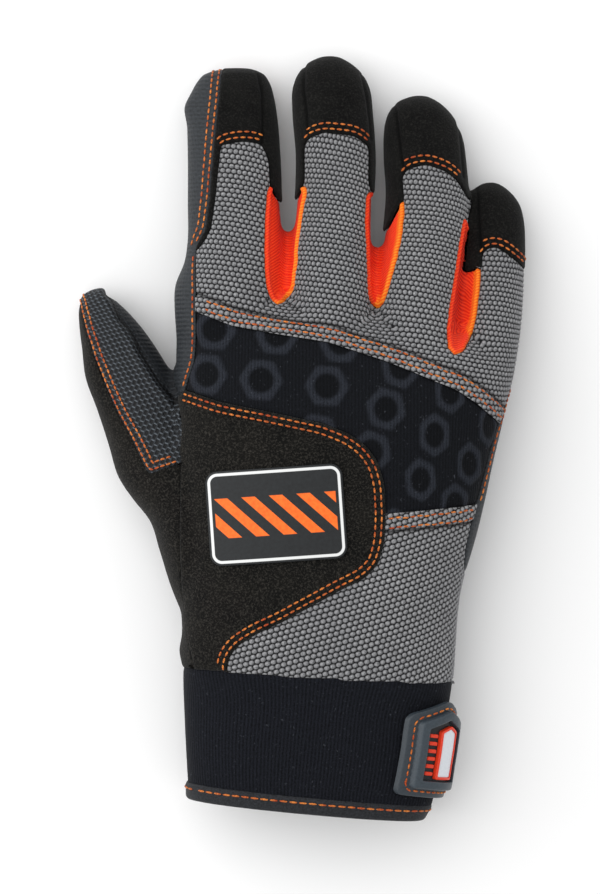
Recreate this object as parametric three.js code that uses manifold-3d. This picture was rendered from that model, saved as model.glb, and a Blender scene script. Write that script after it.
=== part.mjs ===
// A padded work glove for the right hand, lying palm down with its back up and its hollow open.
// Millimetres. +X points to the little-finger side, +Y to the fingertips and +Z up. The origin is on
// the flat of the palm that the glove rests on.
// One hollow shell is lofted from tables of cross-sections, and cut along the seams into its panels.
import * as THREE from "three";
import { mergeVertices } from "three/addons/utils/BufferGeometryUtils.js";
import Module from "manifold-3d";

const wasm = await Module();
wasm.setup();

// Driving sizes of the hand part.
const palmWidth = 115;
const palmLength = 120; // from the wrist seam to the knuckle line
const palmThickness = 46;
const wristBehindOrigin = 80;
const palmSquareness = 2.5;

// Driving sizes of the cuff, which leans a little to the little-finger side.
const cuffWidth = 90;
const cuffLength = 43;
const cuffThickness = 43;
const cuffLean = -5.3;
const cuffSquareness = 2.3;
const hemWidth = 5.6;

// Driving sizes of the digits.
const indexLength = 86.6;
const indexWidth = 31;
const indexThickness = 38;
const middleLength = 97.4;
const middleWidth = 27.7;
const middleThickness = 40;
const ringLength = 89;
const ringWidth = 27.4;
const ringThickness = 38;
const littleLength = 71.7;
const littleWidth = 22;
const littleThickness = 32;
const thumbLength = 110.8;
const thumbWidth = 30;
const thumbThickness = 37;
const digitSquareness = 2.3;
const littleFork = 0.17; // share of the ring finger below its parting from the little finger

// A digit's root is in shares of the palm's width and length, and its lean is in degrees to the
// little-finger side.
const digits = {
  index: {
    root: [-0.191, 0.967],
    lean: 0,
    length: indexLength,
    width: indexWidth,
    thickness: indexThickness,
  },
  middle: {
    root: [0.0896, 0.925],
    lean: 0,
    length: middleLength,
    width: middleWidth,
    thickness: middleThickness,
  },
  ring: {
    root: [0.3304, 0.8833],
    lean: 2.1,
    length: ringLength,
    width: ringWidth,
    thickness: ringThickness,
  },
  little: {
    root: [0.533, 0.787],
    lean: 2.7,
    length: littleLength,
    width: littleWidth,
    thickness: littleThickness,
  },
  thumb: {
    root: [-0.1974, 0.2442],
    lean: -24.3,
    length: thumbLength,
    width: thumbWidth,
    thickness: thumbThickness,
  },
};

// Cloth and clearances.
const wall = 2.2;
const seamGap = 0.3;
const restFace = 0; // the height of the flat that the glove lies on

// The closure: a strap round the little-finger side of the cuff, with a moulded tab on its end.
const strapThickness = 1.2;
const strapWidth = 25;
const tabWidth = 27;
const tabLength = 34;
const tabPitch = 0.45; // rise over run of the tab's pointed end
const tabCorner = 3;
const tabThickness = 1.5;
const rimInset = 3.5;
const rimWidth = 2.6;
const rimHeight = 1.9;
const windowWidth = 9;
const windowLength = 18;
const windowCorner = 0.6;
const windowShift = 2.4; // from the tab's middle to the little-finger side
const windowDrop = 0.7; // from the tab's middle towards the cuff's mouth
const windowBorder = 0.9;
const windowHeight = 1.2;
const windowSunk = 0.3; // how far the window lies below its border
const tabFacing = 51; // degrees that the tab faces away from straight up
const tabLean = -9;
const tabPlace = [0.505, -0.46]; // shares of the cuff's width and length
const tabRise = 0.74; // share of the cuff's thickness
const strapMiddle = -0.5; // share of the cuff's length
const strapStart = 0.45; // share of the cuff's width, on the back
const strapEnd = -0.08; // share of the cuff's width, on the palm side

// The plain badge on the saddle panel.
const badgeWidth = 45;
const badgeLength = 31;
const badgeCorner = 4;
const badgeThickness = 0.8;
const badgeTurn = 4;
const badgePlace = [-0.068, 0.457]; // shares of the palm's width and length

// Cross-sections. "at" is a share of the length, left and right are shares of the width from the axis,
// low and high are shares of the thickness from the rest face, and turn is in degrees.
const cuffRows = [
  { at: 1, left: -0.375, right: 0.5, low: 0.05, high: 0.93 },
  { at: 0.86, left: -0.383, right: 0.53, low: 0.05, high: 0.96 },
  { at: 0.5, left: -0.408, right: 0.552, low: 0.05, high: 0.99 },
  { at: 0.15, left: -0.43, right: 0.56, low: 0.04, high: 1 },
];
const palmRows = [
  { at: 0.02, left: -0.343, right: 0.444, low: 0.0, high: 0.97, turn: -5.2 },
  { at: 0.12, left: -0.345, right: 0.452, low: -0.02, high: 0.99, turn: -5 },
  { at: 0.27, left: -0.352, right: 0.466, low: -0.03, high: 1, turn: -4.5 },
  { at: 0.43, left: -0.357, right: 0.51, low: -0.03, high: 1, turn: -4 },
  { at: 0.59, left: -0.357, right: 0.55, low: -0.03, high: 1, turn: -4 },
  { at: 0.74, left: -0.357, right: 0.584, low: -0.03, high: 0.99, turn: -5 },
  { at: 0.88, left: -0.362, right: 0.611, low: -0.01, high: 0.95, turn: -7.5 },
  { at: 0.985, left: -0.35, right: 0.624, low: 0.04, high: 0.88, turn: -10.5 },
  { at: 1.03, left: -0.31, right: 0.59, low: 0.14, high: 0.77, turn: -10.5 },
  { at: 1.07, left: -0.26, right: 0.55, low: 0.27, high: 0.6, turn: -10.5 },
];
const indexRows = [
  { at: -0.14, left: -0.58, right: 0.5, low: 0.1, high: 0.95 },
  { at: 0, left: -0.63, right: 0.6, low: 0.02, high: 1.03 },
  { at: 0.154, left: -0.62, right: 0.64, low: 0.04, high: 0.99 },
  { at: 0.246, left: -0.53, right: 0.61, low: 0.07, high: 0.95 },
  { at: 0.338, left: -0.495, right: 0.56, low: 0.1, high: 0.9 },
  { at: 0.477, left: -0.505, right: 0.527, low: 0.12, high: 0.83 },
  { at: 0.66, left: -0.505, right: 0.495, low: 0.08, high: 0.73 },
  { at: 0.8, left: -0.505, right: 0.462, low: 0.02, high: 0.64 },
  { at: 0.892, left: -0.48, right: 0.41, low: -0.01, high: 0.56 },
  { at: 0.95, left: -0.38, right: 0.335, low: 0.01, high: 0.48 },
  { at: 0.985, left: -0.25, right: 0.23, low: 0.06, high: 0.4 },
  { at: 1, left: -0.12, right: 0.11, low: 0.13, high: 0.31 },
];
const middleRows = [
  { at: -0.12, left: -0.5, right: 0.5, low: 0.1, high: 0.95 },
  { at: 0, left: -0.54, right: 0.54, low: 0.02, high: 1.04 },
  { at: 0.154, left: -0.55, right: 0.54, low: 0.05, high: 1.01 },
  { at: 0.27, left: -0.53, right: 0.54, low: 0.09, high: 0.95 },
  { at: 0.34, left: -0.49, right: 0.51, low: 0.11, high: 0.92 },
  { at: 0.476, left: -0.47, right: 0.525, low: 0.13, high: 0.84 },
  { at: 0.64, left: -0.43, right: 0.535, low: 0.1, high: 0.74 },
  { at: 0.805, left: -0.456, right: 0.506, low: 0.02, high: 0.62 },
  { at: 0.887, left: -0.455, right: 0.47, low: -0.01, high: 0.55 },
  { at: 0.945, left: -0.375, right: 0.36, low: 0.01, high: 0.47 },
  { at: 0.983, left: -0.24, right: 0.2, low: 0.06, high: 0.38 },
  { at: 1, left: -0.11, right: 0.09, low: 0.13, high: 0.3 },
];
const ringRows = [
  { at: -0.12, left: -0.48, right: 0.5, low: 0.1, high: 0.9 },
  { at: 0, left: -0.51, right: 0.535, low: 0.02, high: 1.03 },
  { at: 0.195, left: -0.53, right: 0.525, low: 0.06, high: 1 },
  { at: 0.31, left: -0.53, right: 0.54, low: 0.1, high: 0.95 },
  { at: 0.37, left: -0.475, right: 0.555, low: 0.12, high: 0.93 },
  { at: 0.487, left: -0.438, right: 0.59, low: 0.13, high: 0.86 },
  { at: 0.62, left: -0.405, right: 0.6, low: 0.11, high: 0.77 },
  { at: 0.757, left: -0.446, right: 0.555, low: 0.05, high: 0.67 },
  { at: 0.846, left: -0.457, right: 0.506, low: 0, high: 0.59 },
  { at: 0.914, left: -0.43, right: 0.412, low: -0.01, high: 0.52 },
  { at: 0.96, left: -0.35, right: 0.28, low: 0.02, high: 0.45 },
  { at: 0.987, left: -0.24, right: 0.16, low: 0.06, high: 0.37 },
  { at: 1, left: -0.12, right: 0.07, low: 0.13, high: 0.3 },
];
const littleRows = [
  { at: -0.16, left: -0.45, right: 0.22, low: 0.1, high: 0.9 },
  { at: 0, left: -0.52, right: 0.385, low: 0.02, high: 1.04 },
  { at: 0.21, left: -0.48, right: 0.49, low: 0.05, high: 1 },
  { at: 0.377, left: -0.467, right: 0.533, low: 0.09, high: 0.94 },
  { at: 0.544, left: -0.455, right: 0.54, low: 0.1, high: 0.86 },
  { at: 0.71, left: -0.44, right: 0.53, low: 0.06, high: 0.76 },
  { at: 0.823, left: -0.43, right: 0.5, low: 0.01, high: 0.67 },
  { at: 0.907, left: -0.4, right: 0.42, low: -0.01, high: 0.58 },
  { at: 0.963, left: -0.3, right: 0.27, low: 0.02, high: 0.48 },
  { at: 1, left: -0.13, right: 0.11, low: 0.12, high: 0.34 },
];
const thumbRows = [
  { at: -0.05, left: -0.62, right: 0.4, low: 0, high: 0.98 },
  { at: 0.113, left: -0.6, right: 0.52, low: -0.02, high: 1 },
  { at: 0.2, left: -0.56, right: 0.5, low: -0.03, high: 0.99 },
  { at: 0.29, left: -0.52, right: 0.47, low: -0.03, high: 0.95 },
  { at: 0.37, left: -0.6, right: 0.455, low: -0.03, high: 0.9 },
  { at: 0.45, left: -0.655, right: 0.44, low: -0.03, high: 0.85 },
  { at: 0.55, left: -0.6, right: 0.435, low: -0.02, high: 0.79 },
  { at: 0.65, left: -0.55, right: 0.425, low: 0, high: 0.75 },
  { at: 0.76, left: -0.505, right: 0.38, low: 0, high: 0.7 },
  { at: 0.85, left: -0.435, right: 0.305, low: -0.01, high: 0.64 },
  { at: 0.92, left: -0.36, right: 0.21, low: 0.01, high: 0.56 },
  { at: 0.97, left: -0.28, right: 0.1, low: 0.06, high: 0.46 },
  { at: 1, left: -0.19, right: -0.01, low: 0.13, high: 0.35 },
];
const digitRows = {
  index: indexRows,
  middle: middleRows,
  ring: ringRows,
  little: littleRows,
  thumb: thumbRows,
};

// The side seam's height along the hand: shares of the palm's length and of its thickness.
const sideSeam = [
  { at: -0.1, up: 0.34 },
  { at: 0.6, up: 0.32 },
  { at: 1, up: 0.3 },
  { at: 1.2, up: 0.26 },
  { at: 1.4, up: 0.22 },
  { at: 1.6, up: 0.17 },
  { at: 1.8, up: 0.13 },
];

// Seams seen from above. On the palm x is a share of its width and y of its length from the wrist seam;
// on a digit x is a share of its width from the axis and y of its length from its root.
const palmSeams = {
  upperKnitEdge: [
    [-0.308, 1.0165], [-0.194, 0.972], [-0.08, 0.95], [0.081, 0.925], [0.264, 0.867],
    [0.446, 0.797], [0.507, 0.758], [0.583, 0.699],
  ],
  saddleEdge: [
    [-0.335, 0.8], [-0.226, 0.764], [-0.102, 0.74], [0.064, 0.706], [0.136, 0.679], [0.186, 0.647],
    [0.222, 0.6], [0.24, 0.536], [0.243, 0.456], [0.238, 0.378], [0.222, 0.325], [0.186, 0.286],
    [0.119, 0.256], [-0.046, 0.169], [-0.125, 0.133], [-0.18, 0.1], [-0.204, 0.066], [-0.216, 0.0],
  ],
  lowerKnitEdge: [[0.241, 0.46], [0.354, 0.469], [0.446, 0.477], [0.512, 0.485]],
  littleSide: [
    [0.66, 0.9], [0.617, 0.828], [0.59, 0.756], [0.562, 0.675], [0.542, 0.597],
    [0.519, 0.517], [0.496, 0.444], [0.478, 0.37], [0.474, 0.31], [0.5, 0.24],
  ],
  thumbFold: [
    [-0.375, 0.9], [-0.361, 0.84], [-0.348, 0.79], [-0.34, 0.7], [-0.343, 0.51], [-0.343, 0.33],
    [-0.33, 0.16], [-0.3, 0.03], [-0.295, 0],
  ],
};
const indexSideSeam = {
  onIndex: [
    [-0.11, 1.04], [-0.15, 0.9], [-0.2, 0.72], [-0.25, 0.5], [-0.3, 0.38], [-0.4, 0.31], [-0.4, 0.15],
  ],
  onPalm: [[-0.3, 0.93], [-0.305, 0.87], [-0.33, 0.8], [-0.35, 0.78]],
};
const capSeams = {
  index: [
    [-0.43, 0.29], [-0.36, 0.31], [-0.243, 0.38], [-0.197, 0.49], [-0.16, 0.62], [-0.14, 0.705],
    [0.1, 0.72], [0.3, 0.71], [0.375, 0.65], [0.385, 0.58], [0.4, 0.545], [0.58, 0.46],
  ],
  middle: [
    [-0.62, 0.44], [-0.43, 0.5], [-0.33, 0.555], [-0.33, 0.7], [-0.26, 0.735], [0.06, 0.745],
    [0.38, 0.725], [0.46, 0.68], [0.455, 0.55], [0.66, 0.46],
  ],
  ring: [
    [-0.56, 0.42], [-0.4, 0.49], [-0.21, 0.6], [-0.24, 0.68], [-0.17, 0.71], [0.06, 0.73],
    [0.3, 0.705], [0.42, 0.68], [0.54, 0.63], [0.7, 0.58],
  ],
  little: [
    [-0.58, 0.535], [-0.15, 0.59], [-0.15, 0.65], [-0.06, 0.68], [0.1, 0.685], [0.42, 0.62], [0.62, 0.575],
  ],
};
const gussetSeams = {
  index_middle: {
    digit: "index",
    edge: [
      [0.39, 0.565], [0.35, 0.43], [0.34, 0.29], [0.36, 0.17], [0.45, 0.11], [0.58, 0.125], [0.64, 0.2],
      [0.67, 0.31], [0.7, 0.42], [0.74, 0.52], [0.73, 0.57],
    ],
  },
  middle_ring: {
    digit: "middle",
    edge: [
      [0.455, 0.56], [0.42, 0.4], [0.44, 0.26], [0.5, 0.15], [0.55, 0.125], [0.62, 0.15], [0.72, 0.25],
      [0.82, 0.39], [0.86, 0.49], [0.845, 0.535],
    ],
  },
  ring_little: {
    digit: "ring",
    edge: [
      [0.61, 0.567], [0.57, 0.555], [0.52, 0.47], [0.44, 0.3], [0.42, 0.17], [0.43, 0.05], [0.52, 0.015],
      [0.63, 0.05], [0.72, 0.16], [0.77, 0.3], [0.79, 0.42],
    ],
  },
};
const thumbSeam = [
  [-0.2, 1.04], [-0.245, 0.965], [-0.29, 0.89], [-0.33, 0.8], [-0.34, 0.71], [-0.338, 0.62],
  [-0.312, 0.535], [-0.3, 0.42], [0.12, 0.41],
];

const finishes = {
  suede: { color: 0x201e1c, roughness: 0.95, metalness: 0 },
  grip: { color: 0x3b4047, roughness: 0.75, metalness: 0 },
  knit: { color: 0x8b8c8f, roughness: 0.9, metalness: 0 },
  neoprene: { color: 0x191c22, roughness: 0.85, metalness: 0 },
  gusset: { color: 0xff5a1e, roughness: 0.7, metalness: 0 },
  binding: { color: 0x2f3134, roughness: 0.7, metalness: 0 },
  rubber: { color: 0x4a555d, roughness: 0.5, metalness: 0 },
  rubber_orange: { color: 0xf04a22, roughness: 0.5, metalness: 0 },
  rubber_pale: { color: 0xdde3ea, roughness: 0.4, metalness: 0 },
  badge: { color: 0x17191b, roughness: 0.45, metalness: 0 },
};
// Each panel's finish, and a place in the plan, on the back or the palm side, where a plumb line meets it.
const panels = [
  { name: "palm_panel", finish: "grip", on: "palm", at: [0.05, 0.67], side: "palm" },
  { name: "saddle_panel", finish: "suede", on: "palm", at: [-0.05, 0.45], side: "back" },
  { name: "knuckle_panel", finish: "neoprene", on: "palm", at: [0.35, 0.65], side: "back" },
  { name: "upper_knit", finish: "knit", on: "palm", at: [0.1, 1], side: "back" },
  { name: "lower_knit", finish: "knit", on: "palm", at: [0.3, 0.2], side: "back" },
  { name: "thumb_back", finish: "suede", on: "thumb", at: [-0.4, 0.2], side: "back" },
  { name: "thumb_front", finish: "grip", on: "thumb", at: [0, 0.7], side: "back" },
  { name: "index_cap", finish: "suede", on: "index", at: [0.1, 0.85], side: "back" },
  { name: "middle_cap", finish: "suede", on: "middle", at: [0, 0.85], side: "back" },
  { name: "ring_cap", finish: "suede", on: "ring", at: [0, 0.85], side: "back" },
  { name: "little_cap", finish: "suede", on: "little", at: [0, 0.85], side: "back" },
  { name: "index_middle_gusset", finish: "gusset", on: "index", at: [0.42, 0.3], side: "back" },
  { name: "middle_ring_gusset", finish: "gusset", on: "middle", at: [0.68, 0.35], side: "back" },
  { name: "ring_little_gusset", finish: "gusset", on: "ring", at: [0.68, 0.25], side: "back" },
  { name: "cuff_body", finish: "neoprene", on: "cuff", at: [0, -0.4], side: "back" },
  { name: "cuff_hem", finish: "binding", on: "cuff", at: [0, -0.96], side: "back" },
];

// Turns a three.js geometry into a solid for joining and cutting.
function solidOf(geometry) {
  const plain = geometry.index ? geometry.toNonIndexed() : geometry.clone();
  plain.deleteAttribute("normal");
  plain.deleteAttribute("uv");
  const merged = mergeVertices(plain, 1e-4);
  return new wasm.Manifold(
    new wasm.Mesh({
      numProp: 3,
      vertProperties: merged.attributes.position.array,
      triVerts: new Uint32Array(merged.index.array),
    }),
  );
}

function geometryOf(solid) {
  const mesh = solid.getMesh();
  const geometry = new THREE.BufferGeometry();
  const positions = new Float32Array(mesh.numVert * 3);
  for (let i = 0; i < mesh.numVert; i++)
    for (let k = 0; k < 3; k++) positions[i * 3 + k] = mesh.vertProperties[i * mesh.numProp + k];
  geometry.setAttribute("position", new THREE.BufferAttribute(positions, 3));
  geometry.setIndex(new THREE.BufferAttribute(mesh.triVerts, 1));
  geometry.computeVertexNormals();
  return geometry;
}

const joined = (solids) => solids.reduce((sum, solid) => sum.add(solid));
const degrees = THREE.MathUtils.degToRad;

// Places in the plan, from shares on the palm, the cuff or a digit.
function planPoint(on, [x, y]) {
  if (on === "palm") return new THREE.Vector2(x * palmWidth, y * palmLength - wristBehindOrigin);
  if (on === "cuff") {
    const lean = degrees(cuffLean);
    const along = y * cuffLength;
    return new THREE.Vector2(
      x * cuffWidth * Math.cos(lean) - along * Math.sin(lean),
      x * cuffWidth * Math.sin(lean) + along * Math.cos(lean) - wristBehindOrigin,
    );
  }
  const digit = digits[on];
  const lean = degrees(digit.lean);
  const across = x * digit.width;
  const along = y * digit.length;
  const root = planPoint("palm", digit.root);
  return new THREE.Vector2(
    root.x + across * Math.cos(lean) + along * Math.sin(lean),
    root.y - across * Math.sin(lean) + along * Math.cos(lean),
  );
}
const planPoints = (on, shares) => shares.map((share) => planPoint(on, share));

// A section's ring of points: a superellipse, taken in by inset, across a line in the plan.
function sectionRing(row, sides, inset) {
  const halfWidth = Math.max((row.right - row.left) / 2 - inset, 0.5);
  const halfHeight = Math.max((row.high - row.low) / 2 - inset, 0.5);
  const ring = [];
  for (let i = 0; i < sides; i++) {
    const angle = (2 * Math.PI * i) / sides;
    const power = 2 / row.squareness;
    const u = Math.sign(Math.cos(angle)) * Math.abs(Math.cos(angle)) ** power;
    const v = Math.sign(Math.sin(angle)) * Math.abs(Math.sin(angle)) ** power;
    const across = (row.left + row.right) / 2 + u * halfWidth;
    ring.push(
      row.x + across * Math.cos(row.turn),
      row.y + across * Math.sin(row.turn),
      (row.low + row.high) / 2 + v * halfHeight,
    );
  }
  return ring;
}

// A closed loft through sections, with flat ends.
function loft(rows, sides, inset) {
  const positions = rows.flatMap((row) => sectionRing(row, sides, inset));
  const faces = [];
  for (let r = 0; r + 1 < rows.length; r++)
    for (let i = 0; i < sides; i++) {
      const a = r * sides + i;
      const b = r * sides + ((i + 1) % sides);
      faces.push(a, a + sides, b, b, a + sides, b + sides);
    }
  const last = (rows.length - 1) * sides;
  for (let i = 1; i + 1 < sides; i++) {
    faces.push(0, i, i + 1);
    faces.push(last, last + i + 1, last + i);
  }
  const geometry = new THREE.BufferGeometry();
  geometry.setAttribute("position", new THREE.Float32BufferAttribute(positions, 3));
  geometry.setIndex(faces);
  return solidOf(geometry);
}

// The rows in millimetres. A hollow's rows stop one wall short of the closed end and run past the open one.
function digitSections(name, inset) {
  const digit = digits[name];
  const reach = (digit.length - inset) / digit.length;
  return digitRows[name].map((row) => {
    const axis = planPoint(name, [0, row.at > 0 ? row.at * reach : row.at]);
    return {
      x: axis.x,
      y: axis.y,
      turn: -degrees(digit.lean),
      left: row.left * digit.width,
      right: row.right * digit.width,
      low: row.low * digit.thickness,
      high: row.high * digit.thickness,
      squareness: digitSquareness,
    };
  });
}

function cuffSections(rows) {
  return rows.map((row) => {
    const axis = planPoint("cuff", [0, -row.at]);
    return {
      x: axis.x,
      y: axis.y,
      turn: degrees(cuffLean),
      left: row.left * cuffWidth,
      right: row.right * cuffWidth,
      low: row.low * cuffThickness,
      high: row.high * cuffThickness,
      squareness: cuffSquareness,
    };
  });
}

function bodySections(inset) {
  const palm = palmRows.map((row) => ({
    x: 0,
    y: row.at * palmLength - wristBehindOrigin - (row.at > 0.9 ? inset : 0),
    turn: degrees(row.turn),
    left: row.left * palmWidth,
    right: row.right * palmWidth,
    low: row.low * palmThickness,
    high: row.high * palmThickness,
    squareness: palmSquareness,
  }));
  const pastMouth = { ...cuffRows[0], at: 1.1 };
  return [...cuffSections(inset > 0 ? [pastMouth, ...cuffRows] : cuffRows), ...palm];
}

// The hollow has fewer sides than the outside.
const bodySides = (inset) => (inset > 0 ? 16 : 24);
const digitSides = (inset) => (inset > 0 ? 8 : 14);
const bodyLoft = (inset) => loft(bodySections(inset), bodySides(inset), inset);
const digitLoft = (name, inset) => loft(digitSections(name, inset), digitSides(inset), inset);

// Above the fork between them, the ring finger presses into the side of the little finger.
function littleLoft(inset) {
  const lean = degrees(digits.ring.lean);
  const along = [Math.sin(lean), Math.cos(lean), 0];
  const fork = planPoint("ring", [0, littleFork]);
  const height = fork.x * along[0] + fork.y * along[1] - inset;
  return digitLoft("little", inset).subtract(digitLoft("ring", -inset - seamGap).trimByPlane(along, height));
}

function handForm(inset) {
  const apart = ["index", "middle", "ring", "thumb"].map((name) => digitLoft(name, inset));
  return joined([bodyLoft(inset), littleLoft(inset), ...apart]).trimByPlane([0, 0, 1], restFace + inset);
}

// A thin upright wall along a line in the plan, which cuts a seam.
function uprightRibbon(points, low, high) {
  const half = seamGap / 2;
  const sides = [[], []];
  points.forEach((point, i) => {
    const before = point.clone().sub(points[Math.max(i - 1, 0)]);
    const after = points[Math.min(i + 1, points.length - 1)].clone().sub(point);
    const bend = before.length() ? before.normalize() : after.clone().normalize();
    const next = after.length() ? after.normalize() : bend.clone();
    const normal = new THREE.Vector2(-(bend.y + next.y), bend.x + next.x).normalize();
    const reach = half / Math.max(normal.dot(new THREE.Vector2(-next.y, next.x)), 0.4);
    sides[0].push(point.clone().addScaledVector(normal, reach));
    sides[1].unshift(point.clone().addScaledVector(normal, -reach));
  });
  const shape = new THREE.Shape([...sides[0], ...sides[1]]);
  const geometry = new THREE.ExtrudeGeometry(shape, { depth: high - low, bevelEnabled: false });
  return solidOf(geometry.translate(0, 0, low));
}

// A shape drawn in Y and Z, extruded across the glove's whole width.
function acrossGlove(points) {
  const reach = palmWidth * 2;
  const through = { depth: 2 * reach, bevelEnabled: false };
  const geometry = new THREE.ExtrudeGeometry(new THREE.Shape(points), through);
  const turned = new THREE.Matrix4().makeBasis(
    new THREE.Vector3(0, 1, 0),
    new THREE.Vector3(0, 0, 1),
    new THREE.Vector3(1, 0, 0),
  );
  return solidOf(geometry.applyMatrix4(turned).translate(-reach, 0, 0));
}

function plateInPlan(points, low, high) {
  const upright = { depth: high - low, bevelEnabled: false };
  const geometry = new THREE.ExtrudeGeometry(new THREE.Shape(points), upright);
  return solidOf(geometry.translate(0, 0, low));
}

// Heights clear of the glove, which cuts run between.
const skyHeight = palmThickness * 1.6;
const underFloor = -10;
const seamLine = sideSeam.map(
  ({ at, up }) => new THREE.Vector2(at * palmLength - wristBehindOrigin, up * palmThickness),
);

// Seams that cut only the back of the glove.
function backSeams() {
  const lines = [
    planPoints("palm", palmSeams.upperKnitEdge),
    planPoints("palm", palmSeams.saddleEdge),
    planPoints("palm", palmSeams.lowerKnitEdge),
    planPoints("palm", palmSeams.littleSide),
    indexSide(),
    ...Object.values(gussetSeams).map(({ digit, edge }) => planPoints(digit, edge)),
  ];
  // A cap's seam cuts its own finger alone.
  const caps = Object.entries(capSeams).map(([name, line]) => {
    const finger = name === "little" ? littleLoft(-seamGap / 3) : digitLoft(name, -seamGap / 3);
    return uprightRibbon(planPoints(name, line), underFloor, skyHeight).intersect(finger);
  });
  const walls = joined([...lines.map((line) => uprightRibbon(line, underFloor, skyHeight)), ...caps]);
  const lowered = seamLine.map((point) => point.clone().add(new THREE.Vector2(0, -seamGap / 2)));
  const first = lowered[0];
  const last = lowered[lowered.length - 1];
  const above = acrossGlove([
    ...lowered,
    new THREE.Vector2(last.x, skyHeight),
    new THREE.Vector2(first.x, skyHeight),
  ]);
  return walls.intersect(above);
}

function indexSide() {
  return [...planPoints("index", indexSideSeam.onIndex), ...planPoints("palm", indexSideSeam.onPalm)];
}

// The side seam, where the back meets the palm panel, left out where the palm panel wraps up onto the back.
function sideSeamSheet() {
  const half = new THREE.Vector2(0, seamGap / 2);
  const sheet = acrossGlove([
    ...seamLine.map((point) => point.clone().sub(half)),
    ...seamLine.map((point) => point.clone().add(half)).reverse(),
  ]);
  const wrap = indexSide().slice(0, -1);
  const fold = planPoints("palm", palmSeams.thumbFold).slice(2);
  const beyond = palmWidth;
  const littleSide = planPoints("palm", palmSeams.littleSide).reverse();
  const tips = planPoint("middle", [0, 1.2]).y;
  const belowWrist = -wristBehindOrigin - palmLength * 0.1;
  const outline = [
    ...wrap,
    ...fold,
    new THREE.Vector2(beyond, belowWrist),
    new THREE.Vector2(beyond, littleSide[0].y),
    ...littleSide,
    new THREE.Vector2(beyond, littleSide[littleSide.length - 1].y),
    new THREE.Vector2(beyond, tips),
    new THREE.Vector2(wrap[0].x, tips),
  ];
  return sheet.intersect(plateInPlan(outline, underFloor, skyHeight));
}

// Seams that cut the glove through from top to bottom: the thumb's, the wrist's and the hem's.
function throughSeams() {
  const acrossCuff = (y) => [planPoint("cuff", [-1, y]), planPoint("cuff", [1, y])];
  return joined(
    [
      planPoints("palm", palmSeams.thumbFold),
      planPoints("thumb", thumbSeam),
      acrossCuff(0),
      acrossCuff(-1 + hemWidth / cuffLength),
    ].map((line) => uprightRibbon(line, underFloor, skyHeight)),
  );
}

// Cuts the shell along its seams and names each piece by the plumb line that meets it.
function cutPanels() {
  const shell = handForm(0).subtract(handForm(wall));
  const pieces = shell
    .subtract(backSeams())
    .subtract(sideSeamSheet())
    .subtract(throughSeams())
    .decompose();
  const aboveSeam = palmThickness * 0.28;
  const belowSeam = palmThickness * 0.14;
  return panels.map((panel) => {
    const at = planPoint(panel.on, panel.at);
    const [low, high] = panel.side === "back" ? [aboveSeam, skyHeight] : [underFloor, belowSeam];
    const line = new THREE.BoxGeometry(wall, wall, high - low).translate(at.x, at.y, (low + high) / 2);
    const met = pieces.map((piece) => piece.intersect(solidOf(line)).volume());
    return { ...panel, solid: pieces[met.indexOf(Math.max(...met))] };
  });
}

// A layer that follows the cuff or the palm, between two heights above its surface.
const layer = (from, to) => bodyLoft(-to).subtract(bodyLoft(-from));

// A house-shaped outline with a point at its top, taken in by inset on every side.
function houseOutline(width, length, corner, inset) {
  const half = width / 2 - inset;
  const bottom = inset - length / 2;
  const top = length / 2 - inset * Math.hypot(1, tabPitch);
  const shoulder = top - half * tabPitch;
  const cut = Math.max(corner - inset / 2, 0.4);
  return [
    [cut - half, bottom],
    [half - cut, bottom],
    [half, bottom + cut],
    [half, shoulder],
    [0, top],
    [-half, shoulder],
    [-half, bottom + cut],
  ].map(([x, y]) => new THREE.Vector2(x, y));
}

// An outline stood on the cuff's little-finger side, reaching out along the way that the tab faces.
function outlineOnCuff(points) {
  const depth = cuffThickness;
  const geometry = new THREE.ExtrudeGeometry(new THREE.Shape(points), { depth, bevelEnabled: false });
  const centre = planPoint("cuff", tabPlace);
  const place = new THREE.Matrix4()
    .makeTranslation(centre.x, centre.y, cuffThickness * tabRise)
    .multiply(new THREE.Matrix4().makeRotationZ(degrees(tabLean)))
    .multiply(new THREE.Matrix4().makeRotationY(degrees(tabFacing)))
    .multiply(new THREE.Matrix4().makeTranslation(0, 0, -depth * 0.3));
  return solidOf(geometry.applyMatrix4(place));
}
const tabOutline = (inset) => outlineOnCuff(houseOutline(tabWidth, tabLength, tabCorner, inset));
const windowPlace = new THREE.Vector2(windowShift, -windowDrop);
const windowOutline = (inset) =>
  outlineOnCuff(
    houseOutline(windowWidth, windowLength, windowCorner, inset).map((point) => point.add(windowPlace)),
  );

// The strap lies on the cuff from under the tab, round the little-finger side and onto the palm side.
function strapRegion() {
  const reach = strapWidth / cuffLength / 2;
  const corners = (start) =>
    planPoints("cuff", [
      [start, strapMiddle - reach],
      [1, strapMiddle - reach],
      [1, strapMiddle + reach],
      [start, strapMiddle + reach],
    ]);
  const onBack = plateInPlan(corners(strapStart), underFloor, skyHeight);
  const onPalm = plateInPlan(corners(strapEnd), underFloor, cuffThickness / 2);
  return onBack.add(onPalm);
}

function closure() {
  const strapTop = seamGap + strapThickness;
  const tabFloor = strapTop + seamGap;
  const tabTop = tabFloor + tabThickness;
  const onTab = tabTop + seamGap;
  const rim = tabOutline(rimInset).subtract(tabOutline(rimInset + rimWidth));
  const border = windowOutline(0).subtract(windowOutline(windowBorder - seamGap));
  return [
    ["wrist_strap", "neoprene", seamGap, strapTop, strapRegion()],
    ["tab_base", "rubber", tabFloor, tabTop, tabOutline(0)],
    ["tab_rim", "rubber", onTab, onTab + rimHeight, rim],
    ["tab_window_edge", "rubber_orange", onTab, onTab + windowHeight, border],
    ["tab_window", "rubber_pale", onTab, onTab + windowHeight - windowSunk, windowOutline(windowBorder)],
  ].map(([name, finish, from, to, region]) => ({ name, finish, solid: layer(from, to).intersect(region) }));
}

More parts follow.
